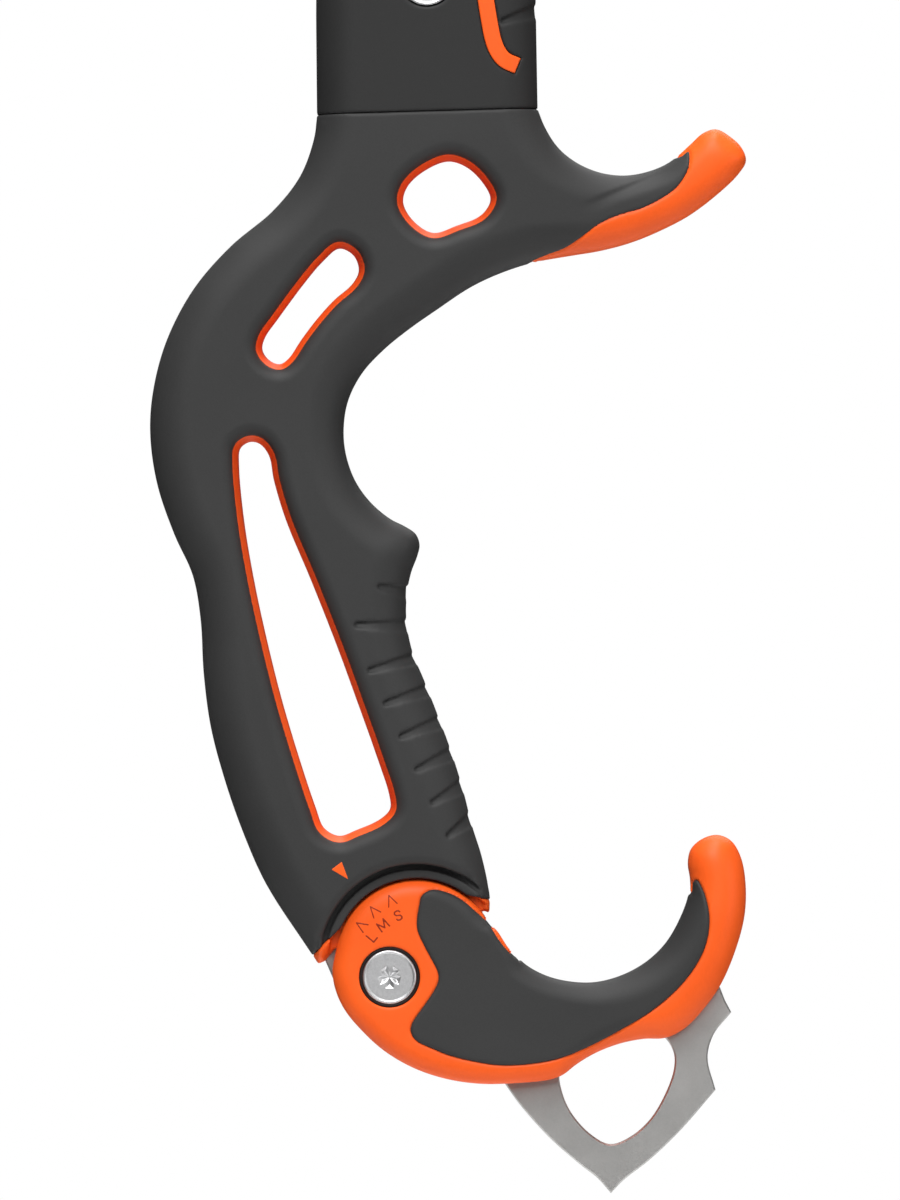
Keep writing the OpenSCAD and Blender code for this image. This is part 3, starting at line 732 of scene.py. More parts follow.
def swept_radius(x, z):
    """How far the rest's cheeks reach, at that angle round the pivot, over their whole swing."""
    outline = HANDLE.pieces["rest"][0]
    reach = np.hypot(outline[:, 0], outline[:, 1])
    angles = np.degrees(np.arctan2(outline[:, 1], outline[:, 0])) % 360
    swing = JOINT["range_deg"][1] + 0.5
    table = np.array([reach[np.abs((angles - a + 180) % 360 - 180) < swing].max() for a in range(360)])
    here = np.degrees(np.arctan2(z, x)) % 360
    low = here.astype(int) % 360
    return table[low] + (here - np.floor(here)) * (table[(low + 1) % 360] - table[low])


class HandleFields:
    """The handle's shared fields on one grid."""

    def __init__(self, grid):
        sizes = sizes_mm()
        self.grid = grid
        x, z = grid.x, grid.z
        edge, owner = HANDLE.edge(x, z)
        self.edge = softened(edge, grid.cell)
        # The neck that holds the tube is all inside, so the skin runs straight over it up to the seam
        over_neck = np.maximum(np.abs(x - 2) - 24, np.maximum(170 - z, z - seam(x)))
        # Beside the rest it runs down to the cut at each lower corner
        to_pivot = np.hypot(x, z)
        over_corner = np.maximum(corner_cut(x, z), np.maximum(to_pivot - 30, 21.8 - to_pivot))
        skin_side = HANDLE.region("skin", x, z, edge, owner)
        self.skin_side = np.minimum(skin_side, np.minimum(over_neck, over_corner))
        horn = step(x, 20, 60) * step(z, 150, 172) * (1 - step(z, 200, 204))
        top = step(z, SEAM_Z - 30, SEAM_Z)
        half = sizes.grip_half + 0.5 * top - (sizes.grip_half - sizes.horn_half + 0.3 * top) * horn
        self.round = sizes.grip_round - 3.6 * horn
        self.body = meet(grid.deep(self.edge), np.abs(grid.y) - grid.deep(half), grid.deep(self.round))
        self.window = depth(WINDOWS, x, z)


def groove_cut(fields, body, tip, end, deep):
    """The space of one tapered finger groove, which runs round the front edge."""
    grid = fields.grid
    tip, end = np.array(tip), np.array(end)
    way = (end - tip) / np.linalg.norm(end - tip)
    along = (grid.x - tip[0]) * way[0] + (grid.z - tip[1]) * way[1]
    across = (grid.x - tip[0]) * -way[1] + (grid.z - tip[1]) * way[0]
    share = np.clip(along / np.linalg.norm(end - tip), 0, 1.3)
    wide = 0.75 + 0.8 * share
    strip = np.where(along < 0, np.hypot(along, across), np.abs(across)) - wide
    # Deepest under its upper wall, from where the floor slopes out to the lower edge
    sink = deep * (0.9 - 0.55 * share) * (0.68 + 0.32 * np.clip(across / wide, -1, 1))
    return meet(grid.deep(strip), -(body + grid.deep(sink)), 0.12)


GRIP_GROOVES = [((-8.7, 89.5), (-2.8, 88.2)), ((-14.2, 80.3), (-2.8, 80.0))] + [
    ((-11 + 3.75 * i, 69.5 - 7.9 * i), (-0.4 + 2.6 * i, 72.1 - 7.75 * i)) for i in range(6)
]


def quick_cell(cell):
    return cell


def handle_grid(above):
    """A grid round the grip, up to that far above the seam."""
    low = box_mm("grip_skin")[0][0] - 2
    high = box_mm("handle_core")[1][0] + 2
    return Grid((low, -15, -4), (high, 15, SEAM_Z + above), quick_cell(sizes_mm().cell))


SADDLE_CREASE = ((40.6, 181.2), (62, 190.1))
SADDLE_CREASE_DEPTH = 0.45


def saddle_crease(x, z):
    """How deep the soft crease on the horn's saddle sinks: steep above its line, gentle below it."""
    start, end = np.array(SADDLE_CREASE)
    way = (end - start) / np.sum((end - start) ** 2)
    along = (x - start[0]) * way[0] + (z - start[1]) * way[1]
    above = ((z - start[1]) * way[0] - (x - start[0]) * way[1]) / np.linalg.norm(way)
    fade = step(along, -0.1, 0.25) * (1 - step(along, 0.75, 1.1))
    return SADDLE_CREASE_DEPTH * fade * step(above, -3.2, -0.2) * (1 - step(above, -0.2, 0.7))


class BuildGripSkin(bpy.types.Operator):
    """Moulds the dark rubber over the grip, with its rolled window lips and finger grooves."""

    bl_idname = "axe.grip_skin"
    bl_label = "Grip skin"

    def execute(self, context):
        sizes = sizes_mm()
        grid = handle_grid(2)
        fields = HandleFields(grid)
        to_pivot = grid.away((0, 0))
        body = fields.body + grid.deep(saddle_crease(grid.x, grid.z))
        # Over the rest the rubber rolls down to a low flange, except at the handle's own edges
        rolled = (1 - step(to_pivot, 26, 34)) * step(-fields.edge, 0.5, 3.5)
        skin = meet(body, grid.deep(fields.skin_side + 1.2 * rolled), grid.deep(0.25 + 2.4 * rolled))
        # The flange is a rubber lip carried in to just clear the cheeks, so its dark rubber is also painted
        # shade over the orange deep in the groove
        skin = join(skin, np.maximum(self.flange(grid, to_pivot), body + 0.02), 0.25)
        crease = grid.deep(np.abs(to_pivot - CREASE_RADIUS) - 0.75 * rolled + 0.1)
        crease = meet(crease, 8.3 - np.abs(grid.y), 0.1)
        skin = meet(skin, -crease, 0.3)
        for tip, end in GRIP_GROOVES:
            skin = meet(skin, -groove_cut(fields, body, tip, end, sizes.rib_depth), 0.2)
        skin = meet(skin, -grid.deep(fields.window - WINDOW_REVEAL), sizes.window_lip)
        sculpted("grip_skin", skin, grid, AXE, "moulded_grip_elastomer", "rubber", ["grip_skin"])
        return {"FINISHED"}

    def flange(self, grid, to_pivot):
        """The thin lip of rubber beside the rest's cheeks, cut back at the two lower corners. It reaches in
        to just clear the cheeks' swing, so its dark face also stands as painted shade over the orange tongue
        and band deep in the groove.
        """
        ring = np.maximum(swept_radius(grid.x, grid.z) + 0.3 - to_pivot, to_pivot - LIP_RADIUS)
        ring = np.maximum(ring, corner_cut(grid.x, grid.z))
        return meet(grid.deep(ring), np.abs(grid.y) - LIP_HALF, 0.3)


class BuildHandleCore(bpy.types.Operator):
    """Moulds the orange core, seen in the windows, on the horn and in a band above the rest."""

    bl_idname = "axe.handle_core"
    bl_label = "Handle core"

    def execute(self, context):
        grid = handle_grid(20)
        fields = HandleFields(grid)
        x, z, y = grid.x, grid.z, np.abs(grid.y)
        to_pivot = grid.away((0, 0))
        outline = depth([curved(section("handle_core", 8.5)[0])], x, z)
        under_skin = np.maximum(outline, np.maximum(z - SEAM_Z + 4, 25.5 - to_pivot))
        inner = np.maximum(fields.body + SKIN_THICK, grid.deep(under_skin))
        bare = meet(fields.body, grid.deep(-fields.skin_side + 0.12), 0.35)
        # Behind that border the core fills the corner, so that the edge has no notch
        behind = np.maximum(fields.body + 0.4, grid.deep(np.abs(fields.skin_side) - 1.6))
        bare = np.minimum(bare, behind)
        beyond = np.maximum(BARE_HORN_X - x, np.maximum(BARE_HORN_Z - z, z - BARE_HORN_TOP))
        bare = np.maximum(bare, grid.deep(beyond))
        # Where the skin covers its lower end the core lies deeper than the skin's own surface
        sunk = fields.body + grid.deep(0.04 + SKIN_THICK * step(-fields.skin_side, -0.1, 1.2))
        half = BAND_HALF - 2 * (1 - step(corner_cut(x, z), -0.6, 0))
        band = meet(grid.deep(np.maximum(outline, to_pivot - BAND_RADIUS)), y - grid.deep(half), 0.6)
        tongue = depth([curved(section("handle_core", 5.0)[0])], x, z)
        tongue = meet(grid.deep(np.maximum(tongue, to_pivot - TONGUE_RADIUS)), y - TONGUE_HALF, 0.4)
        end = np.maximum(np.minimum(band, tongue), sunk)
        core = np.minimum(np.minimum(inner, bare), end)
        # The windows' walls lean outwards, more so near the faces
        flare = 0.25 * np.clip(y / 5, 0, 1) + np.clip((y - 5.5) / 3.5, 0, 1)
        core = meet(core, -grid.deep(fields.window) + flare, 0.5)
        core = np.maximum(core, -np.maximum(grid.deep(to_pivot - SLOT_RADIUS), y - SLOT_HALF))
        sculpted("handle_core", core, grid, AXE, "glass_filled_nylon", "orange_nylon", ["handle_core"])
        return {"FINISHED"}


SLEEVE_HALF = 13
SLEEVE_TAPER = 1.2
# Fine enough for a shell 1 mm thick
INLAY_CELL = 0.2
INLAY_PROUD = 0.12
INLAY_DEEP = 0.9
SLEEVE_SEAT_RADIUS = 6.75
SLEEVE_SEAT_FLOOR = 11
RIBS = 9


class BuildSleeve(bpy.types.Operator):
    """Moulds the rubber sleeve round the shaft, with its ribs and the orange inlays."""

    bl_idname = "axe.sleeve"
    bl_label = "Shaft sleeve"

    def execute(self, context):
        sizes = sizes_mm()
        grid = grid_round("shaft_sleeve", 16, quick_cell(sizes.cell), above=3)
        fields = HandleFields(grid)
        body = self.body(fields)
        sleeve = meet(body, grid.deep(seam(grid.x) + 0.1 - grid.z), 0.25)
        for tip, end in self.ribs():
            sleeve = meet(sleeve, -groove_cut(fields, body, tip, end, sizes.rib_depth), 0.35)
        stripe = [curved(loop) for loop in section("sleeve_stripes", 12.5)[:1]]
        inlay = depth(stripe, grid.x, grid.z)
        recess = meet(grid.deep(inlay - 0.1), -(body + INLAY_DEEP), 0.1)
        sleeve = np.maximum(sleeve, -np.where(np.abs(grid.y) > 5, recess, 1))
        seat = grid.deep(grid.away(DISC) - SLEEVE_SEAT_RADIUS)
        sleeve = meet(sleeve, -np.maximum(seat, SLEEVE_SEAT_FLOOR - np.abs(grid.y)), 0.4)
        sculpted("shaft_sleeve", sleeve, grid, AXE, "moulded_sleeve_elastomer", "rubber", ["shaft_sleeve"])
        self.inlays(stripe)
        return {"FINISHED"}

    def body(self, fields):
        """The sleeve's rounded body, thinner towards its top."""
        grid = fields.grid
        half = SLEEVE_HALF - SLEEVE_TAPER * step(grid.z, SEAM_Z + 55, SLEEVE_TOP)
        return meet(grid.deep(fields.edge), np.abs(grid.y) - grid.deep(half), grid.deep(fields.round))

    def ribs(self):
        """Tip and end of each rib's groove."""
        pitch = (SLEEVE_TOP - SEAM_Z - 35) / (RIBS - 1)
        base = SEAM_Z + 20.8
        return [((20.8, base + i * pitch), (28.2, base + 2.4 + i * pitch)) for i in range(RIBS)]

    def inlays(self, stripe):
        """The orange inlay on each side, a hair proud of the rubber."""
        low, high = stripe[0].min(0), stripe[0].max(0)
        grid = Grid((low[0] - 1, 5, low[1] - 1), (high[0] + 1, 15, high[1] + 1), INLAY_CELL)
        body = self.body(HandleFields(grid))
        shell = np.maximum(body - INLAY_PROUD, -(body + INLAY_DEEP))
        inlay = meet(shell, grid.deep(depth(stripe, grid.x, grid.z)), 0.25)
        both = on_both_sides(inlay, grid)
        piece("sleeve_stripes", *both, AXE, "glass_filled_nylon", "orange_nylon", ["sleeve_stripes"])


class BuildIndexMarks(bpy.types.Operator):
    """Sets the small orange triangle in the rubber on each side."""

    bl_idname = "axe.index_marks"
    bl_label = "Index marks"

    def execute(self, context):
        mark = section("index_marks", 12.2)[:1]
        low, high = mark[0].min(0), mark[0].max(0)
        grid = Grid((low[0] - 1, 8, low[1] - 1), (high[0] + 1, 14.5, high[1] + 1), 0.16)
        body = HandleFields(grid).body
        shell = np.maximum(body - 0.07, -(body + 0.8))
        both = on_both_sides(meet(shell, grid.deep(depth(mark, grid.x, grid.z)), 0.12), grid)
        piece("index_marks", *both, AXE, "glass_filled_nylon", "orange_nylon", ["index_marks"])
        return {"FINISHED"}


# ---- The grip rest ----

GRIP_REST = Silhouette({"pad": section("rest_pad", 10.5)[:1], "body": section("rest_body", 9.2)[:1]})
PAD_PROUD = 0.35
PAD_DEEP = 1.5
POCKET_RADIUS = 16.6
POCKET_REACH = 30
POCKET_FROM = 11.8
POCKET_TO = 203.2
POCKET_HALF = 6.7
REST_SEAT_RADIUS = 7.3
REST_SEAT_FLOOR = 9


class RestFields:
    """The rest's shared fields on one grid."""

    def __init__(self, grid):
        sizes = sizes_mm()
        x, z = grid.x, grid.z
        edge, owner = GRIP_REST.edge(x, z)
        self.pad_side = GRIP_REST.region("pad", x, z, edge, owner)
        # The edge is crisper where the pad runs out beside the cheeks
        beside = 1 - step(grid.away((20.5, 5)), 3, 9)
        rounding = sizes.rest_round + 2.6 * step(x, 30, 62) - 2.2 * beside
        half = sizes.rest_half - 0.8 * step(z, 8, 28) * step(x, 40, 60)
        across = np.abs(grid.y) - grid.deep(half)
        self.body = meet(grid.deep(softened(edge, grid.cell)), across, grid.deep(rounding))


class BuildRest(bpy.types.Operator):
    """Moulds the orange rest and the rubber pad let into it."""

    bl_idname = "axe.rest"
    bl_label = "Grip rest"

    def execute(self, context):
        grid = grid_round("rest_body", 13.5, quick_cell(0.8 * sizes_mm().cell))
        fields = RestFields(grid)
        y = np.abs(grid.y)
        pocket = np.maximum(grid.deep(self.pocket(grid)), y - POCKET_HALF)
        body = fields.body
        shell = meet(body - PAD_PROUD, grid.deep(fields.pad_side), 0.8)
        pad = np.maximum(np.maximum(shell, -(body + PAD_DEEP)), -pocket)
        recess = meet(grid.deep(fields.pad_side - 0.12), -(body + PAD_DEEP + 0.02), 0.1)
        # Behind the pad's border the nylon fills the corner, so that the edge has no notch
        behind = np.maximum(body + 0.4, grid.deep(np.abs(fields.pad_side) - 1.6))
        rest = meet(np.minimum(np.maximum(body, -recess), behind), -pocket, 0.3)
        seat = grid.deep(grid.away(CLAMP) - REST_SEAT_RADIUS)
        rest = meet(rest, -np.maximum(seat, REST_SEAT_FLOOR - y), 0.35)
        sculpted("rest_body", rest, grid, REST, "glass_filled_nylon", "orange_nylon", ["rest_body"])
        sculpted("rest_pad", pad, grid, REST, "moulded_grip_elastomer", "rubber", ["rest_pad"])
        return {"FINISHED"}

    def pocket(self, grid):
        """The room between the cheeks: a round round the pivot and a sector above it."""
        start, end = math.radians(POCKET_FROM), math.radians(POCKET_TO)
        over_start = math.sin(start) * grid.x - math.cos(start) * grid.z
        over_end = math.cos(end) * grid.z - math.sin(end) * grid.x
        away = grid.away((0, 0))
        sector = np.maximum(np.minimum(over_start, over_end), away - POCKET_REACH)
        return np.minimum(away - POCKET_RADIUS, sector)


ARROW_ANGLES = (147.9, 130.7, 113.1)
ARROW_RADIUS = 17.0
# Strokes of each size letter in its own square, one unit high
LETTERS = {
    "L": [[(-0.3, 0.5), (-0.3, -0.5), (0.3, -0.5)]],
    "M": [[(-0.5, -0.5), (-0.44, 0.5), (0, -0.35), (0.44, 0.5), (0.5, -0.5)]],
    "S": [
        [(0.3, 0.3), (0.22, 0.45), (0, 0.5), (-0.22, 0.43), (-0.3, 0.25), (-0.2, 0.08), (0, 0)],
        [(0, 0), (0.22, -0.08), (0.3, -0.25), (0.22, -0.43), (0, -0.5), (-0.22, -0.45), (-0.3, -0.3)],
    ],
}
# Each letter's place and how far it leans to the left
LETTER_SPOTS = {"L": (-10.7, 5.7, 50), "M": (-8.1, 8.5, 39), "S": (-4.4, 10.8, 25)}
LETTER_HEIGHT = 2.3
# Half widths of the strokes
LETTER_PEN = 0.2
ARROW_PEN = 0.17


class BuildSizeMarks(bpy.types.Operator):
    """Lays the size arrows and letters as a thin layer of darker orange at the near cheek's surface, painted
    shade standing for their engraved grooves, and mirrors them on the far one.
    """

    bl_idname = "axe.size_marks"
    bl_label = "Size marks"

    def execute(self, context):
        grid = Grid((-17.5, 8.5, 4), (-1, 12.5, 18.5), 0.14)
        body = RestFields(grid).body
        strokes = np.full(grid.x.shape, np.inf)
        for letter, spot in LETTER_SPOTS.items():
            for line in LETTERS[letter]:
                placed = [self.turned(p, spot) for p in line]
                strokes = np.minimum(strokes, self.pen(grid, placed, LETTER_PEN))
        for angle in ARROW_ANGLES:
            strokes = np.minimum(strokes, self.pen(grid, self.arrow(angle), ARROW_PEN))
        # A thin layer at the surface, in a darker orange that paints the shade of engraved strokes
        shell = np.maximum(body - 0.05, -(body + 0.3))
        both = on_both_sides(meet(shell, grid.deep(strokes), 0.05), grid, 1)
        piece("size_marks", *both, REST, "engraved_mark_paint", "orange_nylon")
        return {"FINISHED"}

    def turned(self, point, spot):
        """A letter's point, leaned and scaled to its spot."""
        lean = math.radians(spot[2])
        x, z = LETTER_HEIGHT * point[0], LETTER_HEIGHT * point[1]
        across = x * math.cos(lean) - z * math.sin(lean)
        up = x * math.sin(lean) + z * math.cos(lean)
        return (spot[0] + across, spot[1] + up)

    def arrow(self, angle):
        """The two legs of an arrow whose point is on the marks' circle."""
        a = math.radians(angle)
        out, side = np.array([math.cos(a), math.sin(a)]), np.array([-math.sin(a), math.cos(a)])
        tip = ARROW_RADIUS * out
        back = tip - 2.6 * out
        return [back + 1.1 * side, tip, back - 1.1 * side]

    def pen(self, grid, points, half):
        """Distance to a line of points drawn with a round pen."""
        parts = np.stack([np.array(points[:-1]), np.array(points[1:])], 1)
        return distance(parts, grid.x, grid.z)[0] - half


DISC_RADIUS = 6.45
DISC_THICK = 1.8
DISH_RADIUS = 5.75
NUT_GROOVE_RADIUS = 3.3
SOCKET_RADIUS = 2.8
RING_RADIUS = 6.88


def star(grid, centre):
    """How far outside a five-lobed key socket each place is, as its sloping walls see it."""
    fold = math.radians(72)
    bearing = np.arctan2(grid.z - centre[1], grid.x - centre[0])
    angle = (bearing - math.radians(54) + fold / 2) % fold - fold / 2
    away = grid.away(centre)
    flank = away * np.abs(np.sin(angle)) - 0.3 * SOCKET_RADIUS - 0.12 * away
    return np.maximum(away * np.cos(angle) - SOCKET_RADIUS, flank)


class BuildDiscs(bpy.types.Operator):
    """Turns the flat bolt heads and flange nuts, and moulds the ring round the clamp's."""

    bl_idname = "axe.discs"
    bl_label = "Disc bolts"

    def execute(self, context):
        self.disc("clamp_bolt", CLAMP, -1, REST, "faced_clamp_steel")
        self.disc("clamp_nut", CLAMP, 1, REST, "faced_clamp_steel")
        self.disc("handle_bolt", DISC, -1, AXE, "faced_handle_steel")
        self.disc("handle_nut", DISC, 1, AXE, "faced_handle_steel")
        self.rings()
        return {"FINISHED"}

    def disc(self, node, centre, side, body, look):
        """A disc with a rounded rim, and a key socket on the near side or a turned groove on the far one."""
        face = box_mm(node)[1][1] if side > 0 else box_mm(node)[0][1]
        inner = face - side * DISC_THICK
        low = (centre[0] - 7, min(face, inner) - 0.6, centre[1] - 7)
        high = (centre[0] + 7, max(face, inner) + 0.6, centre[1] + 7)
        grid = Grid(low, high, 0.14)
        away = grid.away(centre)
        up = side * (grid.y - face)
        field = meet(grid.deep(away - DISC_RADIUS), np.maximum(up, -up - DISC_THICK), 0.4)
        # A shallow step inside the rim catches the light as a bright ring
        dish = meet(grid.deep(away - DISH_RADIUS), -(up + 0.16), 0.1)
        field = meet(field, -dish, 0.08)
        if side < 0:
            # The walls slope in at the broach's angle, so each lobe throws the light back
            sunk = np.clip(-star(grid, centre) * 0.9, -1, 1.2)
            field = np.maximum(field, 0.7 * (up + grid.deep(sunk)))
        else:
            groove = np.maximum(grid.deep(np.abs(away - NUT_GROOVE_RADIUS) - 0.28), -(up + 0.3))
            field = meet(field, -groove, 0.1)
        verts, quads = net(field, grid, 2)
        piece(node, verts, quads, body, look, "bright_steel", [node], 40)

    def rings(self):
        """The black ring in the seat round each clamp disc."""
        low, high = box_mm("clamp_rings")
        grid = Grid((low[0] - 0.6, 8.2, low[2] - 0.6), (high[0] + 0.6, 11.4, high[2] + 0.6), 0.16)
        wall = grid.deep(np.abs(grid.away(CLAMP) - RING_RADIUS) - 0.4)
        ring = meet(wall, np.maximum(grid.y - 10.6, 8.95 - grid.y), 0.25)
        both = on_both_sides(ring, grid, 2)
        piece("clamp_rings", *both, REST, "black_nitrile_ring", "black_seal", ["clamp_rings"])


class BuildPlates(bpy.types.Operator):
    """Cuts the spike plate and the pick from steel plate and chamfers their edges."""

    bl_idname = "axe.plates"
    bl_label = "Steel plates"

    def execute(self, context):
        chamfer = sizes_mm().plate_chamfer
        for node, body in (("spike_plate", REST), ("pick", AXE)):
            half = box_mm(node)[1][1]
            outer, *holes = [curved(loop) for loop in section(node, half / 2)]
            verts, faces = plate(outer, holes, half, chamfer)
            piece(node, verts, faces, body, "tumbled_plate_steel", "blade_steel", [node], 28)
        return {"FINISHED"}


# ---- Shaft and head ----


TUBE_DEEP = 36
TUBE_WALL = 1.6
TUBE_BEND_RADIUS = 508
TUBE_BEND = math.radians(14)
TUBE_BEND_START = SEAM_Z + 86
TUBE_POINTS = 72
TUBE_STEPS = 33
HEAD_CELL = 0.5
HEAD_HALF = 8
HEAD_ROUND = 2.4
HEAD_SLOT_HALF = 2.08
HAMMER_HALF = 7
HAMMER_FLARE = 3


class BuildShaft(bpy.types.Operator):
    """Draws the oval tube along its straight and its forward bend."""

    bl_idname = "axe.shaft"
    bl_label = "Shaft tube"

    def execute(self, context):
        low, high = box_mm("shaft_tube")
        thick = 2 * high[1]
        middle = low[0] + TUBE_DEEP / 2
        ring = self.oval(TUBE_DEEP, thick)
        inner = self.oval(TUBE_DEEP - 2 * TUBE_WALL, thick - 2 * TUBE_WALL)
        stations = [(middle, low[2], 0.0)]
        for lean in np.linspace(0, TUBE_BEND, TUBE_STEPS):
            x = middle + TUBE_BEND_RADIUS * (1 - math.cos(lean))
            stations.append((x, TUBE_BEND_START + TUBE_BEND_RADIUS * math.sin(lean), lean))
        rows = [self.station(ring, s) for s in stations]
        rows += [self.station(inner, s) for s in reversed(stations)]
        verts = np.concatenate(rows)
        n = TUBE_POINTS
        faces = []
        for r in range(len(rows)):
            ahead = (r + 1) % len(rows)
            for i in range(n):
                j = (i + 1) % n
                faces.append([r * n + i, r * n + j, ahead * n + j, ahead * n + i])
        looks = ("anodised_shaft_aluminium", "anodised_aluminium")
        piece("shaft_tube", verts, faces, AXE, *looks, ["shaft_tube"], 35)
        return {"FINISHED"}

    def oval(self, deep, thick):
        """A flat-sided oval, deep along x and thick along y."""
        flat, r = (deep - thick) / 2, thick / 2
        half = TUBE_POINTS // 2
        angles = [math.pi * i / (half - 1) - math.pi / 2 for i in range(half)]
        front = [(flat + r * math.cos(a), r * math.sin(a)) for a in angles]
        return np.array(front + [(-x, -y) for x, y in front])

    def station(self, ring, at):
        """The oval set across the tube's path."""
        x, z, lean = at
        return np.stack([x + ring[:, 0] * math.cos(lean), ring[:, 1], z - ring[:, 0] * math.sin(lean)], 1)


class BuildHead(bpy.types.Operator):
    """Forges the head and the hammer."""

    bl_idname = "axe.head"
    bl_label = "Head and hammer"

    def execute(self, context):
        self.head()
        self.hammer()
        return {"FINISHED"}

    def head(self):
        """The forged head: rounded all over, slotted for the blades and bored for its bolts."""
        grid = grid_round("head", 11, quick_cell(HEAD_CELL))
        loops = [curved(loop) for loop in section("head", 6.0)]
        outer = depth(loops[:1], grid.x, grid.z)
        y = np.abs(grid.y)
        head = meet(grid.deep(outer), y - HEAD_HALF, HEAD_ROUND)
        collar = depth([curved(section("head", 0.5)[0])], grid.x, grid.z)
        slot = np.maximum(y - HEAD_SLOT_HALF, grid.deep(0.05 - collar))
        head = np.maximum(head, -slot)
        for hole in loops[1:]:
            centre = hole.mean(0)
            radius = np.linalg.norm(hole - centre, axis=1).mean()
            bore = grid.deep(grid.away(centre) - radius)
            # The wide rack hole is rounded more than the bolts' bores
            head = meet(head, -bore, 0.8 if radius > 5 else 0.1)
        sculpted("head", head, grid, AXE, "blasted_head_alloy", "forged_aluminium", ["head"])

    def hammer(self):
        """The hammer, flared towards its face."""
        grid = grid_round("hammer", 12, quick_cell(HEAD_CELL))
        outer = depth([curved(section("hammer", 5.0)[0])], grid.x, grid.z)
        face = box_mm("hammer")[0][0]
        half = HAMMER_HALF + HAMMER_FLARE * (1 - step(grid.x, face + 5, face + 13))
        hammer = meet(grid.deep(outer), np.abs(grid.y) - grid.deep(half), 1.4)
        sculpted("hammer", hammer, grid, AXE, "tumbled_plate_steel", "blade_steel", ["hammer"])


class FinishFasteners(bpy.types.Operator):
    """Breaks the edges of the small turned pieces and gives them their steel."""

    bl_idname = "axe.fasteners"
    bl_label = "Fasteners"

    def execute(self, context):
        steel = ("head_bolts", "head_nuts", "head_washers", "head_rivets", "pivot_pin")
        finishes = dict.fromkeys(steel, "machined_bolt_steel")
        finishes["tube_end_plug"] = "moulded_sleeve_elastomer"
        for node, look in finishes.items():
            obj = NODES[node]
            flat = obj.modifiers.new("merge flats", "DECIMATE")
            flat.decimate_type = "DISSOLVE"
            flat.angle_limit = math.radians(1)
            edge = obj.modifiers.new("broken edges", "BEVEL")
            edge.width = 0.25 * MM
            edge.segments = 2
            edge.limit_method = "ANGLE"
            edge.angle_limit = math.radians(35)
            for slot in range(len(obj.material_slots)):
                obj.material_slots[slot].material = material(look)
        return {"FINISHED"}


# ---- Stage ----

FLOOR_RADIUS = 0.8
FLOOR_DROP = 450
VIEW_HEIGHT = 288
VIEW_CENTRE = (8.0, 86.3)


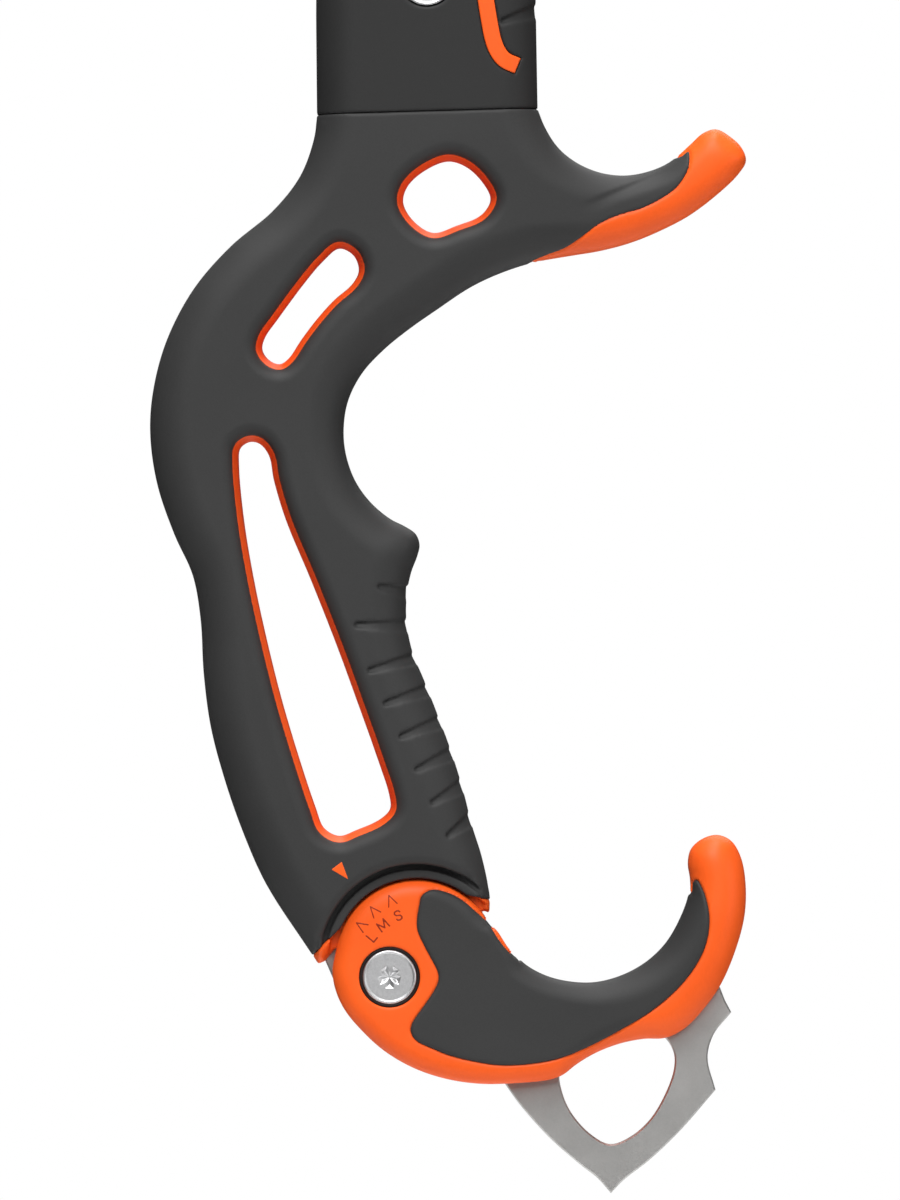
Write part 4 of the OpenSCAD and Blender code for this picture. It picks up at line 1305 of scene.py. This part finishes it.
class BuildStage(bpy.types.Operator):
    """Sets the floor, the soft lights, the world and the camera."""

    bl_idname = "axe.stage"
    bl_label = "Stage"

    def execute(self, context):
        self.floor()
        self.lights()
        self.world()
        self.camera()
        return {"FINISHED"}

    def floor(self):
        """A round pale floor below the spike."""
        bm = bmesh.new()
        bmesh.ops.create_circle(bm, cap_ends=True, radius=FLOOR_RADIUS, segments=96)
        mesh = bpy.data.meshes.new("floor")
        bm.to_mesh(mesh)
        bm.free()
        floor = bpy.data.objects.new("floor", mesh)
        low = box_mm("spike_plate")[0][2]
        floor.location = (PIVOT[0] * MM, 0, (PIVOT[1] + low - FLOOR_DROP) * MM)
        bpy.context.scene.collection.objects.link(floor)
        mesh.materials.append(material("matt_floor_paint"))

    def lights(self):
        """Soft panels: a key high on the left, one above, weak ones in front and on the right, one behind."""
        target = Vector((PIVOT[0] * MM, 0, (PIVOT[1] + 110) * MM))
        panels = [
            ("key", (-0.25, -1.4, 1.5), 0.8, 37),
            ("top", (-0.1, -0.1, 1.8), 0.9, 35),
            ("front", (0.15, -2.2, 0.8), 1.0, 12),
            ("fill", (1.5, -0.9, 0.1), 1.0, 7),
            ("back", (0.3, 1.4, 1.6), 1.6, 19),
        ]
        for name, offset, size, power in panels:
            light = bpy.data.lights.new(name, "AREA")
            light.shape = "SQUARE"
            light.size = size
            light.energy = power
            lamp = bpy.data.objects.new(name, light)
            lamp.location = target + Vector(offset)
            lamp.rotation_euler = (-Vector(offset)).to_track_quat("-Z", "Y").to_euler()
            bpy.context.scene.collection.objects.link(lamp)

    def world(self):
        """A white backdrop that lights the pieces only dimly, as a dark studio does."""
        world = bpy.data.worlds.new("studio")
        world.use_nodes = True
        tree = world.node_tree
        seen = tree.nodes["Background"]
        seen.inputs["Strength"].default_value = 1.0
        seen.inputs["Color"].default_value = (1, 1, 1, 1)
        felt = add(tree, "ShaderNodeBackground", Color=(1, 1, 1, 1), Strength=0.08)
        direct = add(tree, "ShaderNodeLightPath")
        mix = add(tree, "ShaderNodeMixShader", [("Fac", direct, "Is Camera Ray")])
        tree.links.new(felt.outputs["Background"], mix.inputs[1])
        tree.links.new(seen.outputs["Background"], mix.inputs[2])
        tree.links.new(mix.outputs["Shader"], tree.nodes["World Output"].inputs["Surface"])
        bpy.context.scene.world = world
        bpy.context.scene.view_settings.view_transform = "Standard"

    def camera(self):
        """A long lens square on to the side, framing the two grips and the spike."""
        data = bpy.data.cameras.new("camera")
        data.lens = 500
        data.sensor_width = 36
        data.dof.use_dof = False
        camera = bpy.data.objects.new("camera", data)
        back = VIEW_HEIGHT * MM * data.lens / data.sensor_width
        x, z = PIVOT[0] + VIEW_CENTRE[0], PIVOT[1] + VIEW_CENTRE[1]
        camera.location = (x * MM, -back, z * MM)
        camera.rotation_euler = (math.radians(90), 0, 0)
        data.clip_start, data.clip_end = 0.05, 50
        bpy.context.scene.collection.objects.link(camera)
        bpy.context.scene.camera = camera


class AxePanel(bpy.types.Panel):
    """Lists the build steps and their settings."""

    bl_idname = "VIEW3D_PT_axe"
    bl_label = "Ice axe"
    bl_space_type = "VIEW_3D"
    bl_region_type = "UI"
    bl_category = "Ice axe"

    def draw(self, context):
        for group in (context.scene.axe_sizes, context.scene.axe_colours):
            for name in group.__annotations__:
                self.layout.prop(group, name)
        for step_class in STEPS:
            self.layout.operator(step_class.bl_idname)


STEPS = (
    BuildStage,
    BuildGripSkin,
    BuildHandleCore,
    BuildSleeve,
    BuildIndexMarks,
    BuildRest,
    BuildSizeMarks,
    BuildDiscs,
    BuildPlates,
    BuildShaft,
    BuildHead,
    FinishFasteners,
)
CLASSES = (AxeSizes, AxeColours, *STEPS, AxePanel)


def register():
    """Makes the classes and their settings known."""
    for cls in CLASSES:
        bpy.utils.register_class(cls)
    bpy.types.Scene.axe_sizes = PointerProperty(type=AxeSizes)
    bpy.types.Scene.axe_colours = PointerProperty(type=AxeColours)


def unregister():
    """Takes the classes and their settings away."""
    del bpy.types.Scene.axe_colours
    del bpy.types.Scene.axe_sizes
    for cls in reversed(CLASSES):
        bpy.utils.unregister_class(cls)


def main():
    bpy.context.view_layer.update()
    register()
    for step_class in STEPS:
        family, name = step_class.bl_idname.split(".")
        getattr(getattr(bpy.ops, family), name)()


if __name__ == "__main__":
    main()
